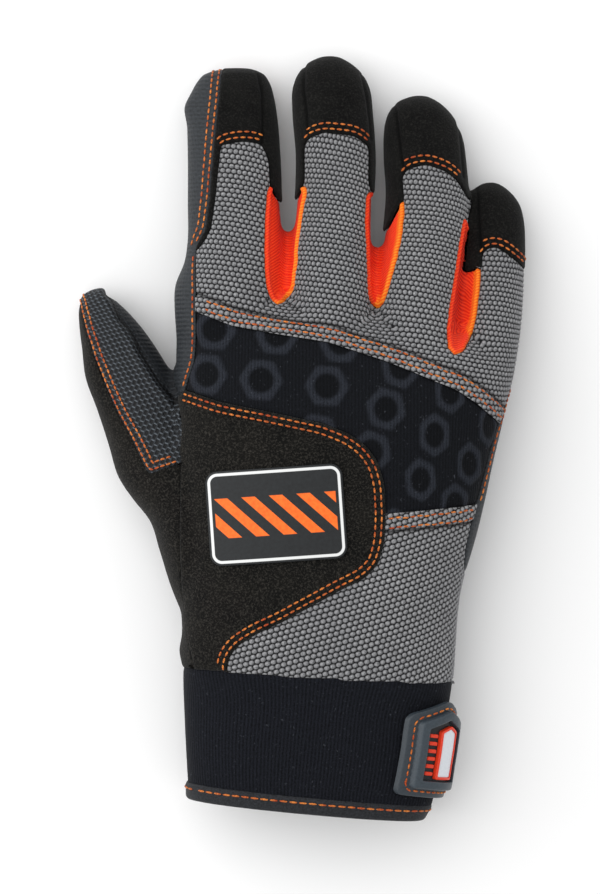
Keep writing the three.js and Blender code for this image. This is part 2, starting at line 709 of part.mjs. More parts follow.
// The badge is a plain rounded plate on the saddle panel.
function badge() {
  const [right, top] = [badgeWidth / 2 - badgeCorner, badgeLength / 2 - badgeCorner];
  const quarter = Math.PI / 2;
  const outline = new THREE.Shape();
  outline.absarc(right, top, badgeCorner, 0, quarter);
  outline.absarc(-right, top, badgeCorner, quarter, 2 * quarter);
  outline.absarc(-right, -top, badgeCorner, 2 * quarter, 3 * quarter);
  outline.absarc(right, -top, badgeCorner, 3 * quarter, 4 * quarter);
  const upright = { depth: skyHeight, bevelEnabled: false, curveSegments: 2 };
  const geometry = new THREE.ExtrudeGeometry(outline, upright);
  const centre = planPoint("palm", badgePlace);
  geometry.rotateZ(degrees(badgeTurn)).translate(centre.x, centre.y, palmThickness / 2);
  const solid = layer(seamGap, seamGap + badgeThickness).intersect(solidOf(geometry));
  return [{ name: "badge", finish: "badge", solid }];
}

// Slivers thinner than this, left where cuts cross a facet's edge, are smoothed away.
const fineness = 0.03;

const glove = new THREE.Group();
for (const { name, finish, solid } of [...cutPanels(), ...closure(), ...badge()]) {
  const surface = geometryOf(solid.simplify(fineness));
  const mesh = new THREE.Mesh(surface, new THREE.MeshStandardMaterial(finishes[finish]));
  mesh.name = name;
  glove.add(mesh);
}

export default glove;
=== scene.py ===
# The visible finish of a padded work glove for the right hand, lying palm down.
# Lengths are millimetres in the tables and metres in Blender. +X points to the little-finger side,
# +Y to the fingertips and +Z up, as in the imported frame.
import math

import bmesh
import bpy
import numpy as np
from mathutils import Matrix, Vector, noise
from mathutils.bvhtree import BVHTree
from mathutils.kdtree import KDTree


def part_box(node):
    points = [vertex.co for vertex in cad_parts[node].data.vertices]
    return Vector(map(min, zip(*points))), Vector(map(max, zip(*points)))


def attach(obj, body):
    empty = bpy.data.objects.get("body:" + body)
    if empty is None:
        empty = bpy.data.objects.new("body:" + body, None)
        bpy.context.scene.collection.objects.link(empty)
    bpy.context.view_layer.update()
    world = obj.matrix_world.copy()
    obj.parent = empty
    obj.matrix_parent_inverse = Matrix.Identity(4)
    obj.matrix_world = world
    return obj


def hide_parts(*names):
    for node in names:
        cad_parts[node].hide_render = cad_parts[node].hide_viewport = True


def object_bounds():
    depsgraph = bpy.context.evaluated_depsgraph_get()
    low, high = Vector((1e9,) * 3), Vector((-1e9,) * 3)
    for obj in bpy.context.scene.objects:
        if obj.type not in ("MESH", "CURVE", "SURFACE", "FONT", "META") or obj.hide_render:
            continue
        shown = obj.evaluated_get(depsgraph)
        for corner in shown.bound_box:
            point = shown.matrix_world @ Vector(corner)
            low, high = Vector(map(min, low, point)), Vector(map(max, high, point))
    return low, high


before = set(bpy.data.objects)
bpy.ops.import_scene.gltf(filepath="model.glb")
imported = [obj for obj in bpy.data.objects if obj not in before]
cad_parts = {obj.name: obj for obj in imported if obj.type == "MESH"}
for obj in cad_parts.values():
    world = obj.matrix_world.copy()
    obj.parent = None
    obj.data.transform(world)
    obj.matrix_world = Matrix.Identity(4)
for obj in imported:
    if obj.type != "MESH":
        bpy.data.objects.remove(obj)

cad_low, cad_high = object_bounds()
MM = 0.001

# Camera and picture. The picture is 600 by 894 pixels, and 3 pixels show a millimetre of the glove.
PICTURE_WIDTH = 600
PICTURE_HEIGHT = 894
PIXELS_PER_MM = 3.0
ORIGIN_PIXEL = (300, 438)
LENS_MM = 135
SENSOR_MM = 36
OUTLINE_HEIGHT_MM = 20  # the height at which the glove's outline is widest

# Sizes of the hand part, the cuff and the digits.
PALM = {"width": 115, "length": 120, "thickness": 46, "squareness": 2.5}
WRIST_Y = -80
CUFF = {"width": 90, "length": 43, "thickness": 43, "squareness": 2.3, "lean": -5.3}
DIGITS = {
    "index": {"root": (-0.191, 0.967), "lean": 0, "length": 88.2, "width": 31, "thickness": 38},
    "middle": {"root": (0.0896, 0.925), "lean": 0, "length": 97.4, "width": 27.7, "thickness": 40},
    "ring": {"root": (0.3304, 0.8833), "lean": 2.1, "length": 89, "width": 27.4, "thickness": 38},
    "little": {"root": (0.533, 0.787), "lean": 2.7, "length": 71.7, "width": 22, "thickness": 32},
    "thumb": {"root": (-0.1974, 0.2442), "lean": -24.3, "length": 110.8, "width": 30, "thickness": 37},
}
DIGIT_SQUARENESS = 2.3
LITTLE_FORK = 0.17
FINGER_PARTING_MM = 1.3

# Cross-sections: share of the length, left and right in shares of the width from the axis, low and
# high in shares of the thickness from the rest face, and for the palm the section's turn in degrees.
CUFF_ROWS = [
    (1.12, -0.375, 0.5, 0.05, 0.93), (1, -0.375, 0.5, 0.05, 0.93), (0.86, -0.383, 0.53, 0.05, 0.96), (0.5, -0.408, 0.552, 0.05, 0.99),
    (0.15, -0.43, 0.56, 0.04, 1),
]
PALM_ROWS = [
    (0.02, -0.343, 0.444, 0, 0.97, -5.2), (0.12, -0.345, 0.452, -0.02, 0.99, -5),
    (0.27, -0.352, 0.466, -0.03, 1, -4.5), (0.43, -0.357, 0.51, -0.03, 1, -4),
    (0.59, -0.357, 0.55, -0.03, 1, -4), (0.74, -0.357, 0.584, -0.03, 0.99, -5),
    (0.88, -0.362, 0.611, -0.01, 0.95, -7.5), (0.985, -0.35, 0.624, 0.04, 0.88, -10.5),
    (1.03, -0.31, 0.59, 0.14, 0.77, -10.5), (1.07, -0.26, 0.55, 0.27, 0.6, -10.5),
]
DIGIT_ROWS = {
    "index": [
        (-0.14, -0.58, 0.5, 0.1, 0.95), (0, -0.63, 0.6, 0.02, 1.03), (0.154, -0.62, 0.59, 0.04, 0.99),
        (0.246, -0.53, 0.565, 0.07, 0.95), (0.338, -0.495, 0.55, 0.1, 0.9),
        (0.477, -0.505, 0.515, 0.12, 0.83), (0.66, -0.505, 0.495, 0.08, 0.73),
        (0.8, -0.505, 0.462, 0.02, 0.64), (0.892, -0.48, 0.42, -0.01, 0.56),
        (0.95, -0.41, 0.37, 0.01, 0.48), (0.985, -0.31, 0.29, 0.06, 0.4), (1, -0.18, 0.19, 0.13, 0.31),
    ],
    "middle": [
        (-0.12, -0.5, 0.5, 0.1, 0.95), (0, -0.54, 0.54, 0.02, 1.04), (0.154, -0.53, 0.525, 0.05, 1.01),
        (0.27, -0.525, 0.52, 0.09, 0.95), (0.34, -0.495, 0.51, 0.11, 0.92),
        (0.476, -0.44, 0.515, 0.13, 0.84), (0.64, -0.42, 0.535, 0.1, 0.74),
        (0.805, -0.456, 0.506, 0.02, 0.62), (0.887, -0.455, 0.47, -0.01, 0.55),
        (0.945, -0.375, 0.36, 0.01, 0.47), (0.983, -0.24, 0.2, 0.06, 0.38), (1, -0.11, 0.09, 0.13, 0.3),
    ],
    "ring": [
        (-0.12, -0.48, 0.5, 0.1, 0.9), (0, -0.51, 0.535, 0.02, 1.03), (0.195, -0.53, 0.525, 0.06, 1),
        (0.31, -0.52, 0.54, 0.1, 0.95), (0.37, -0.475, 0.555, 0.12, 0.93),
        (0.487, -0.43, 0.59, 0.13, 0.86), (0.62, -0.405, 0.6, 0.11, 0.77),
        (0.757, -0.446, 0.555, 0.05, 0.67), (0.846, -0.457, 0.506, 0, 0.59),
        (0.914, -0.43, 0.412, -0.01, 0.52), (0.96, -0.35, 0.28, 0.02, 0.45),
        (0.987, -0.24, 0.16, 0.06, 0.37), (1, -0.12, 0.07, 0.13, 0.3),
    ],
    "little": [
        (-0.16, -0.45, 0.22, 0.1, 0.9), (0, -0.52, 0.385, 0.02, 1.04), (0.21, -0.48, 0.49, 0.05, 1),
        (0.377, -0.467, 0.533, 0.09, 0.94), (0.544, -0.455, 0.54, 0.1, 0.86),
        (0.71, -0.44, 0.53, 0.06, 0.76), (0.823, -0.43, 0.5, 0.01, 0.67),
        (0.907, -0.4, 0.42, -0.01, 0.58), (0.963, -0.3, 0.27, 0.02, 0.48), (1, -0.13, 0.11, 0.12, 0.34),
    ],
    "thumb": [
        (-0.05, -0.62, 0.4, 0, 0.98), (0.113, -0.6, 0.52, -0.02, 1), (0.2, -0.56, 0.5, -0.03, 0.99),
        (0.29, -0.52, 0.47, -0.03, 0.95), (0.37, -0.6, 0.455, -0.03, 0.9),
        (0.45, -0.655, 0.44, -0.03, 0.85), (0.55, -0.6, 0.435, -0.02, 0.79),
        (0.65, -0.55, 0.425, 0, 0.75), (0.76, -0.505, 0.38, 0, 0.7), (0.85, -0.435, 0.305, -0.01, 0.64),
        (0.92, -0.36, 0.21, 0.01, 0.56), (0.97, -0.28, 0.1, 0.06, 0.46), (1, -0.19, -0.01, 0.13, 0.35),
    ],
}

# How fine the form is made.
SECTION_SIDES = 96
SECTION_STEP_MM = 2.0
VOXEL_MM = 1.1
SMOOTH_PASSES = 5

# The panels that are cut from the form, with the slot that each is finished as.
PANELS = {
    "palm_panel": "grip", "saddle_panel": "suede", "knuckle_panel": "neoprene", "upper_knit": "knit",
    "lower_knit": "knit", "thumb_back": "suede", "thumb_front": "grip", "index_cap": "suede",
    "middle_cap": "suede", "ring_cap": "suede", "little_cap": "suede", "index_middle_gusset": "gusset",
    "middle_ring_gusset": "gusset", "ring_little_gusset": "gusset", "cuff_body": "neoprene",
    "cuff_hem": "binding",
}


def make_camera():
    """A camera straight above the glove, framed as the photograph is."""
    data = bpy.data.cameras.new("camera")
    data.lens = LENS_MM
    data.sensor_width = SENSOR_MM
    data.sensor_fit = "AUTO"
    camera = bpy.data.objects.new("camera", data)
    bpy.context.scene.collection.objects.link(camera)
    bpy.context.scene.camera = camera
    tall = PICTURE_HEIGHT / PIXELS_PER_MM
    distance = tall * LENS_MM / SENSOR_MM
    x = (PICTURE_WIDTH / 2 - ORIGIN_PIXEL[0]) / PIXELS_PER_MM
    y = (ORIGIN_PIXEL[1] - PICTURE_HEIGHT / 2) / PIXELS_PER_MM
    camera.location = Vector((x, y, distance + OUTLINE_HEIGHT_MM)) * MM
    data.clip_start = 0.05
    data.clip_end = 20


make_camera()


def picture_place(pixel_x, pixel_y, height):
    """The place in the plan, in millimetres, that a picture's pixel shows at a height."""
    tall = PICTURE_HEIGHT / PIXELS_PER_MM
    distance = tall * LENS_MM / SENSOR_MM
    per_pixel = (distance + OUTLINE_HEIGHT_MM - height) / distance / PIXELS_PER_MM
    y = (ORIGIN_PIXEL[1] - PICTURE_HEIGHT / 2) / PIXELS_PER_MM
    return (
        (pixel_x - PICTURE_WIDTH / 2) * per_pixel,
        y - (pixel_y - PICTURE_HEIGHT / 2) * per_pixel,
    )


def to_line(x, y, line):
    """How far places in the plan are from a line, and on which side: 1 is left of it, -1 right."""
    best, side = np.full(len(x), 1e9), np.zeros(len(x))
    for (ax, ay), (bx, by) in zip(line, line[1:]):
        along_x, along_y = bx - ax, by - ay
        share = ((x - ax) * along_x + (y - ay) * along_y) / (along_x**2 + along_y**2)
        share = np.clip(share, 0, 1)
        distance = np.hypot(x - ax - share * along_x, y - ay - share * along_y)
        turn = np.sign(along_x * (y - ay) - along_y * (x - ax))
        side = np.where(distance < best, turn, side)
        best = np.minimum(distance, best)
    return best, side


def outside_by(x, y, outline):
    """How far places in the plan lie outside a closed outline; less than 0 inside it."""
    closed = list(outline) + [outline[0]]
    inside = np.zeros(len(x), bool)
    for (ax, ay), (bx, by) in zip(closed, closed[1:]):
        if ay != by:
            inside ^= ((ay > y) != (by > y)) & (x < (bx - ax) * (y - ay) / (by - ay) + ax)
    distance = to_line(x, y, closed)[0]
    return np.where(inside, -distance, distance)


def link(name, mesh):
    thing = bpy.data.objects.new(name, mesh)
    bpy.context.scene.collection.objects.link(thing)
    return thing


def shade_smooth(mesh):
    mesh.polygons.foreach_set("use_smooth", np.ones(len(mesh.polygons), bool))


def positions(mesh):
    found = np.zeros(len(mesh.vertices) * 3)
    mesh.vertices.foreach_get("co", found)
    return found.reshape(-1, 3)


def set_positions(mesh, points):
    mesh.vertices.foreach_set("co", np.asarray(points, dtype=np.float32).ravel())
    mesh.update()


def plan_place(on, x, y):
    """A place in the plan, in millimetres, from shares of the palm, the cuff or a digit."""
    if on == "palm":
        return np.array([x * PALM["width"], y * PALM["length"] + WRIST_Y])
    if on == "cuff":
        lean = math.radians(CUFF["lean"])
        across, along = x * CUFF["width"], y * CUFF["length"]
        return np.array([
            across * math.cos(lean) - along * math.sin(lean),
            across * math.sin(lean) + along * math.cos(lean) + WRIST_Y,
        ])
    digit = DIGITS[on]
    lean = math.radians(digit["lean"])
    across, along = x * digit["width"], y * digit["length"]
    root = plan_place("palm", *digit["root"])
    return root + np.array([
        across * math.cos(lean) + along * math.sin(lean),
        along * math.cos(lean) - across * math.sin(lean),
    ])


def eased(rows, step):
    """Rows at close, even steps along smooth curves through the given rows."""
    rows = np.array(rows, dtype=float)
    rows = rows[np.argsort(rows[:, 0])]
    along = rows[:, 0]
    slopes = np.gradient(rows, along, axis=0)
    count = max(int(round((along[-1] - along[0]) / step)), 4)
    made = []
    for t in np.linspace(along[0], along[-1], count + 1):
        k = min(max(np.searchsorted(along, t) - 1, 0), len(along) - 2)
        span = along[k + 1] - along[k]
        s = (t - along[k]) / span
        made.append(
            (2 * s**3 - 3 * s**2 + 1) * rows[k]
            + (s**3 - 2 * s**2 + s) * span * slopes[k]
            + (3 * s**2 - 2 * s**3) * rows[k + 1]
            + (s**3 - s**2) * span * slopes[k + 1]
        )
    return made


def section_points(centre, turn, left, right, low, high, squareness, sides):
    """A superellipse across a line in the plan, in millimetres."""
    angle = np.linspace(0, 2 * math.pi, sides, endpoint=False)
    power = 2 / squareness
    u = np.sign(np.cos(angle)) * np.abs(np.cos(angle)) ** power
    v = np.sign(np.sin(angle)) * np.abs(np.sin(angle)) ** power
    across = (left + right) / 2 + u * (right - left) / 2
    up = (low + high) / 2 + v * (high - low) / 2
    return np.stack([centre[0] + across * math.cos(turn), centre[1] + across * math.sin(turn), up], 1)


def digit_sections(name):
    digit = DIGITS[name]
    turn = -math.radians(digit["lean"])
    rings = []
    for at, left, right, low, high in eased(DIGIT_ROWS[name], SECTION_STEP_MM / digit["length"]):
        rings.append(section_points(
            plan_place(name, 0, at), turn, left * digit["width"], right * digit["width"],
            low * digit["thickness"], high * digit["thickness"], DIGIT_SQUARENESS, SECTION_SIDES,
        ))
    return rings


def body_sections():
    """Rings of the cuff and the palm, as one row from the cuff's mouth to past the knuckles."""
    rows = []
    lean = CUFF["lean"]
    for at, left, right, low, high in CUFF_ROWS:
        rows.append((
            -at * CUFF["length"], left * CUFF["width"], right * CUFF["width"], low * CUFF["thickness"],
            high * CUFF["thickness"], lean, CUFF["squareness"], -at * CUFF["length"] * math.sin(-math.radians(lean)),
        ))
    for at, left, right, low, high, turn in PALM_ROWS:
        rows.append((
            at * PALM["length"], left * PALM["width"], right * PALM["width"], low * PALM["thickness"],
            high * PALM["thickness"], turn, PALM["squareness"], 0,
        ))
    rings = []
    for along, left, right, low, high, turn, squareness, shift in eased(rows, SECTION_STEP_MM):
        centre = (shift, along + WRIST_Y)
        rings.append(section_points(
            centre, math.radians(turn), left, right, low, high, squareness, SECTION_SIDES,
        ))
    return rings


def loft(rings):
    """A closed tube through rings: a grid that is rolled up, its long seam merged and its ends filled."""
    shape = bmesh.new()
    sides = len(rings[0])
    bmesh.ops.create_grid(shape, x_segments=sides, y_segments=len(rings) - 1, size=1)
    shape.verts.ensure_lookup_table()
    for vert in shape.verts:
        i = int(round((vert.co.x + 1) / 2 * sides)) % sides
        j = int(round((vert.co.y + 1) / 2 * (len(rings) - 1)))
        vert.co = Vector(rings[j][i]) * MM
    bmesh.ops.remove_doubles(shape, verts=shape.verts, dist=1e-7)
    bmesh.ops.holes_fill(shape, edges=[edge for edge in shape.edges if edge.is_boundary], sides=0)
    bmesh.ops.recalc_face_normals(shape, faces=shape.faces)
    return shape


def press_ring_into_little(rings):
    """Above their fork the little finger gives way to the ring finger beside it."""
    ring = DIGITS["ring"]
    lean = math.radians(ring["lean"])
    axis = np.array([math.sin(lean), math.cos(lean)])
    side = np.array([math.cos(lean), -math.sin(lean)])
    root = plan_place("palm", *ring["root"])
    rows = np.array(DIGIT_ROWS["ring"])
    for points in rings:
        at = (points[:, :2] - root) @ axis / ring["length"]
        across = (points[:, :2] - root) @ side
        left, right, low, high = (np.interp(at, rows[:, 0], rows[:, k]) for k in range(1, 5))
        middle_up = (low + high) / 2 * ring["thickness"]
        half_up = (high - low) / 2 * ring["thickness"] + FINGER_PARTING_MM
        half_wide = (right - left) / 2 * ring["width"] + FINGER_PARTING_MM
        middle = (left + right) / 2 * ring["width"]
        v = np.clip(np.abs(points[:, 2] - middle_up) / half_up, 0, 1)
        edge = middle + half_wide * (1 - v**DIGIT_SQUARENESS) ** (1 / DIGIT_SQUARENESS)
        above = np.clip((at - LITTLE_FORK) / 0.06, 0, 1)
        push = np.clip(edge - across, 0, None) * (v < 1) * (at < 1) * above
        points[:, :2] += push[:, None] * side
    return rings


def whole_form():
    """The outside of the glove as one smooth closed mesh."""
    shapes = [loft(body_sections()), loft(press_ring_into_little(digit_sections("little")))]
    shapes += [loft(digit_sections(name)) for name in ("index", "middle", "ring", "thumb")]
    together = bmesh.new()
    for shape in shapes:
        mesh = bpy.data.meshes.new("digit")
        shape.to_mesh(mesh)
        together.from_mesh(mesh)
        shape.free()
        bpy.data.meshes.remove(mesh)
    mesh = bpy.data.meshes.new("form")
    together.to_mesh(mesh)
    together.free()
    thing = link("form", mesh)
    remesh = thing.modifiers.new("voxels", "REMESH")
    remesh.mode = "VOXEL"
    remesh.voxel_size = VOXEL_MM * MM
    depsgraph = bpy.context.evaluated_depsgraph_get()
    made = bpy.data.meshes.new_from_object(thing.evaluated_get(depsgraph))
    bpy.data.objects.remove(thing)
    return made


def smoothed(points, edges, passes, weight=0.5, fixed=None):
    """Points moved towards the mean of their neighbours along edges."""
    count = np.zeros(len(points))
    np.add.at(count, edges[:, 0], 1)
    np.add.at(count, edges[:, 1], 1)
    count = np.maximum(count, 1)[:, None]
    points = points.copy()
    for _ in range(passes):
        total = np.zeros_like(points)
        np.add.at(total, edges[:, 0], points[edges[:, 1]])
        np.add.at(total, edges[:, 1], points[edges[:, 0]])
        moved = points + weight * (total / count - points)
        points = moved if fixed is None else np.where(fixed[:, None], points, moved)
    return points


def edge_pairs(mesh):
    found = np.zeros(len(mesh.edges) * 2, dtype=np.int32)
    mesh.edges.foreach_get("vertices", found)
    return found.reshape(-1, 2)


def open_mouth(mesh):
    """Cuts the form off square at the cuff's mouth, so that a hand can go in."""
    lean = math.radians(CUFF["lean"])
    x, y = plan_place("cuff", 0, -1)
    shape = bmesh.new()
    shape.from_mesh(mesh)
    bmesh.ops.bisect_plane(
        shape, geom=shape.verts[:] + shape.edges[:] + shape.faces[:], dist=1e-6,
        plane_co=Vector((x, y, 0)) * MM, plane_no=(math.sin(lean), -math.cos(lean), 0), clear_outer=True,
    )
    shape.to_mesh(mesh)
    shape.free()


form = whole_form()
points = smoothed(positions(form), edge_pairs(form), SMOOTH_PASSES)
points[:, 2] = np.maximum(points[:, 2], 0)
set_positions(form, points)
open_mouth(form)

# How the form is parted into panels.
PANEL_REACH_MM = 5.0  # a panel further away than this from a place doesn't claim it
SEAM_REACH_MM = 6.0  # a pictured seam moves the panels' edges only this near to it
CUFF_LIMIT_MM = -108.0  # below this place along the glove no pictured seam holds
UPPER_SIDE_MM = 18.0  # pictured seams between the fingers hold above this height
CUT_MARGIN = 0.12  # a cut stays this share of an edge clear of the edge's ends
SEAM_PASSES = 10
SMALL_ISLAND = 60


# Seams followed in the picture: the panel inside the outline, the panels that it meets there, the
# lowest place where this holds, the height at which the outline lies, and the outline in pixels.
PICTURED_SEAMS = [
    ("index_middle_gusset", ("upper_knit",), UPPER_SIDE_MM, 38, [
        (269, 183), (267, 192), (265.7, 219), (264.8, 245), (265.7, 272), (267.5, 290), (272.9, 301.6),
        (279, 303.4), (287, 298), (293.4, 284.6), (296, 263), (298, 236), (302, 210), (306, 192), (306, 183),
    ]),
    ("middle_ring_gusset", ("upper_knit",), UPPER_SIDE_MM, 38, [
        (371.5, 189), (367.6, 195), (366.7, 223), (368.6, 252), (369.2, 281), (370, 296), (376.3, 308.5),
        (383, 302), (388.7, 286.5), (396.3, 261.6), (403, 229), (405.5, 210), (404.4, 198.5),
    ]),
    ("ring_little_gusset", ("upper_knit",), UPPER_SIDE_MM, 37, [
        (468.6, 214), (466, 218), (461, 246), (457.5, 271), (451.8, 300), (448, 329), (447.5, 347),
        (454.6, 355), (465, 349), (472.8, 334), (477.6, 309), (481.4, 281), (481.4, 265.5),
    ]),
    ("cuff_body", ("saddle_panel", "lower_knit", "palm_panel", "thumb_back"), -1, 36, [
        (100, 664), (185, 668), (300, 675), (370, 679), (450, 683), (520, 688), (520, 770), (100, 770),
    ]),
    ("middle_cap", ("upper_knit",), UPPER_SIDE_MM, 38, [
        (303, 143), (306.6, 136.5), (312, 133.5), (318, 131.5), (326, 130.2), (335, 130.2), (345, 131),
        (355, 134), (363, 138), (370.4, 142.7), (373, 148), (374, 118), (303, 118),
    ]),
]


def tree_of(mesh):
    shape = bmesh.new()
    shape.from_mesh(mesh)
    bmesh.ops.remove_doubles(shape, verts=shape.verts, dist=1e-6)
    tree = BVHTree.FromBMesh(shape)
    shape.free()
    return tree


def panel_distances(mesh):
    """How far each packed panel is from each vertex, up to the reach."""
    places = positions(mesh)
    reach = PANEL_REACH_MM * MM
    table = np.full((len(places), len(PANELS)), reach)
    for column, name in enumerate(PANELS):
        low, high = (np.array(corner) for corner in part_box(name))
        near = np.all((places > low - reach) & (places < high + reach), axis=1)
        tree = tree_of(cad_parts[name].data)
        for k in np.nonzero(near)[0]:
            distance = tree.find_nearest(places[k], reach)[3]
            if distance is not None:
                table[k, column] = distance
    x, y, z = (places / MM).T
    for name, others, lowest, height, pixels in PICTURED_SEAMS:
        beyond = outside_by(x, y, [picture_place(*pixel, height) for pixel in pixels])
        here = (np.abs(beyond) < SEAM_REACH_MM) & (z > lowest) & (y > CUFF_LIMIT_MM)
        column = list(PANELS).index(name)
        meets = [list(PANELS).index(other) for other in others]
        inner, outer = here & (beyond < 0), here & (beyond >= 0)
        table[inner, column] = np.minimum(table[inner, column], reach * 0.98)
        rest = np.delete(table, meets, axis=1).min(axis=1)
        for other in meets:
            table[inner, other] = np.maximum(table[inner, other], (rest - beyond * MM)[inner])
        if name == "middle_cap":
            continue
        nearest = table[:, meets].min(axis=1)
        lone = outer & (nearest >= reach * 0.98)
        table[lone, meets[0]] = reach * 0.98
        rest = np.delete(table, column, axis=1).min(axis=1)
        table[outer, column] = np.maximum(table[outer, column], (rest + beyond * MM)[outer])
    return table


def cut_seam(shape, rows, column, faces):
    """Cuts the triangles along the line where one panel's claim meets the rest's, and keeps them triangles."""
    def claim(vert):
        row = rows[vert]
        return min(np.delete(row, column)) - row[column]

    claims = {vert: claim(vert) for face in faces for vert in face.verts}
    edges = {edge for face in faces for edge in face.edges}
    cut = set()
    for edge in edges:
        a, b = edge.verts
        if claims[a] * claims[b] < 0:
            share = claims[a] / (claims[a] - claims[b])
            share = min(max(share, CUT_MARGIN), 1 - CUT_MARGIN)
            new = bmesh.utils.edge_split(edge, a, share)[1]
            row = rows[a] * (1 - share) + rows[b] * share
            rest = np.delete(row, column)
            row[column] = rest.min()
            rows[new] = row
            cut.add(new)
    if not cut:
        return
    ends = set(cut) | {vert for vert, value in claims.items() if abs(value) < 1e-9}
    bmesh.ops.connect_verts(shape, verts=list(ends))
    many = {face for vert in cut for face in vert.link_faces if len(face.verts) > 3}
    bmesh.ops.triangulate(shape, faces=list(many))


def island_of(face, layer):
    found, todo = {face}, [face]
    while todo:
        for edge in todo.pop().edges:
            for other in edge.link_faces:
                if other not in found and other[layer] == face[layer]:
                    found.add(other)
                    todo.append(other)
    return found


def join_small_islands(shape, layer):
    """A stray patch of one panel inside another joins the panel round it."""
    seen = set()
    for face in list(shape.faces):
        if face in seen:
            continue
        island = island_of(face, layer)
        seen |= island
        if len(island) < SMALL_ISLAND:
            around = [
                other[layer] for member in island for edge in member.edges
                for other in edge.link_faces if other not in island
            ]
            winner = max(set(around), key=around.count)
            for member in island:
                member[layer] = winner


def parted_form(mesh):
    """The form with its seams cut in, and each face's panel number in a layer."""
    names = list(PANELS)
    table = panel_distances(mesh)
    shape = bmesh.new()
    shape.from_mesh(mesh)
    shape.verts.ensure_lookup_table()
    first = table.argmin(axis=1)
    rows = {}
    mixed = []
    layer = shape.faces.layers.int.new("panel")
    shape.verts.index_update()
    for face in shape.faces:
        found = {first[vert.index] for vert in face.verts}
        face[layer] = int(first[face.verts[0].index])
        if len(found) > 1:
            mixed.append(face)
            for vert in face.verts:
                rows[vert] = table[vert.index].copy()
    bmesh.ops.triangulate(shape, faces=mixed)
    for column in range(len(names)):
        faces = [
            face for face in shape.faces
            if len(face.verts) == 3 and all(vert in rows for vert in face.verts)
        ]
        faces = [
            face for face in faces
            if any(rows[vert].argmin() == column for vert in face.verts)
        ]
        cut_seam(shape, rows, column, faces)
    for face in shape.faces:
        if all(vert in rows for vert in face.verts):
            face[layer] = int(np.mean([rows[vert] for vert in face.verts], axis=0).argmin())
    join_small_islands(shape, layer)
    return shape, layer


def smooth_seams(shape, layer, tree):
    """Evens out the seam lines along the form, and the mesh beside them."""
    seam = {}
    for edge in shape.edges:
        if len({face[layer] for face in edge.link_faces}) > 1:
            a, b = edge.verts
            seam.setdefault(a, []).append(b)
            seam.setdefault(b, []).append(a)
    beside = {edge.other_vert(vert) for vert in seam for edge in vert.link_edges} - set(seam)
    beside |= {edge.other_vert(vert) for vert in beside for edge in vert.link_edges} - set(seam)
    for _ in range(SEAM_PASSES):
        moved = {}
        for vert, others in seam.items():
            if len(others) == 2:
                moved[vert] = vert.co * 0.5 + (others[0].co + others[1].co) * 0.25
        for vert in beside:
            others = [edge.other_vert(vert).co for edge in vert.link_edges]
            moved[vert] = vert.co * 0.5 + sum(others, Vector()) * (0.5 / len(others))
        for vert, place in moved.items():
            vert.co = place
    for vert in list(seam) + list(beside):
        vert.co = tree.find_nearest(vert.co)[0]
    return seam


form_tree = tree_of(form)
parted, panel_layer = parted_form(form)
smooth_seams(parted, panel_layer, form_tree)

# Each panel: how far it lies above the form, how deep and wide its edge rolls down, how often its
# mesh is halved, how thick the cloth is, and how high its slow wrinkles are.
SHAPES = {
    "palm_panel": (-0.1, 0.3, 1.5, 0, 1.8, 0.5),
    "saddle_panel": (0.25, 0.5, 1.0, 1, 1.8, 0.35),
    "knuckle_panel": (-0.5, 0.5, 3.0, 1, 1.8, 0.2),
    "upper_knit": (-0.2, 0.45, 1.2, 1, 1.6, 0.25),
    "lower_knit": (-0.25, 0.45, 1.2, 1, 1.6, 0.25),
    "thumb_back": (-0.2, 0.3, 1.2, 1, 1.8, 0.5),
    "thumb_front": (0.1, 0.5, 1.2, 1, 1.8, 0.6),
    "index_cap": (0.2, 0.5, 1.0, 1, 1.6, 0.3),
    "middle_cap": (0.2, 0.5, 1.0, 1, 1.6, 0.3),
    "ring_cap": (0.2, 0.5, 1.0, 1, 1.6, 0.3),
    "little_cap": (0.2, 0.5, 1.0, 1, 1.6, 0.3),
    "index_middle_gusset": (-0.9, 0.6, 0.6, 1, 1.2, 0.1),
    "middle_ring_gusset": (-0.9, 0.6, 0.6, 1, 1.2, 0.1),
    "ring_little_gusset": (-0.9, 0.6, 0.6, 1, 1.2, 0.1),
    "cuff_body": (-0.4, 0.4, 2.0, 0, 2.2, 0.3),
    "cuff_hem": (0.5, 0.7, 1.2, 1, 2.6, 0.1),
}
WRINKLE_PITCH_MM = 22
# The cuff's lower edge is tucked under the hem.
TUCK_MM = 1.8
TUCK_REACH_MM = 3.0
TUCK_BELOW_MM = -100
FLATTEN_PASSES = 260
UNROLL_SHARE = 0.7  # how far the cloth's steep sides are folded out before it is laid flat
PATTERNED = ("grip", "knit", "gusset", "neoprene")  # finishes whose pattern follows the cloth

# Panels whose pattern runs round a tube: the tube's middle in the plan, its turn, half its width,
# half its height and the height of its axis.
CUFF_ROLL = (
    plan_place("cuff", 0.07, -0.5), CUFF["lean"], CUFF["width"] * 0.48, CUFF["thickness"] * 0.47,
    CUFF["thickness"] * 0.51,
)
ROLLED = {"cuff_body": CUFF_ROLL, "cuff_hem": CUFF_ROLL}
PATTERN_TURNS = {"thumb_front": 24.3, "upper_knit": 8, "lower_knit": -16}

# Knit bubbles, the grip's embossed bricks, and the nuts embossed on the knuckle panel.
BUBBLE_PITCH_MM = 2.05
BUBBLE_ROW_MM = 1.68
BUBBLE_RISE_MM = 0.6
BUBBLE_SQUARENESS = 2.2
SIDE_RIB_MM = 1.45
GUSSET_RIB_MM = 1.0
BRICK_PITCH_MM = 2.2
BRICK_ROW_MM = 1.5
NUT_FLATS_MM = 12.9
NUT_HOLE_MM = 8.4
NUT_RISE_MM = 0.35
NUT_EDGE_MM = 1.3
NUT_HEIGHT_MM = 43
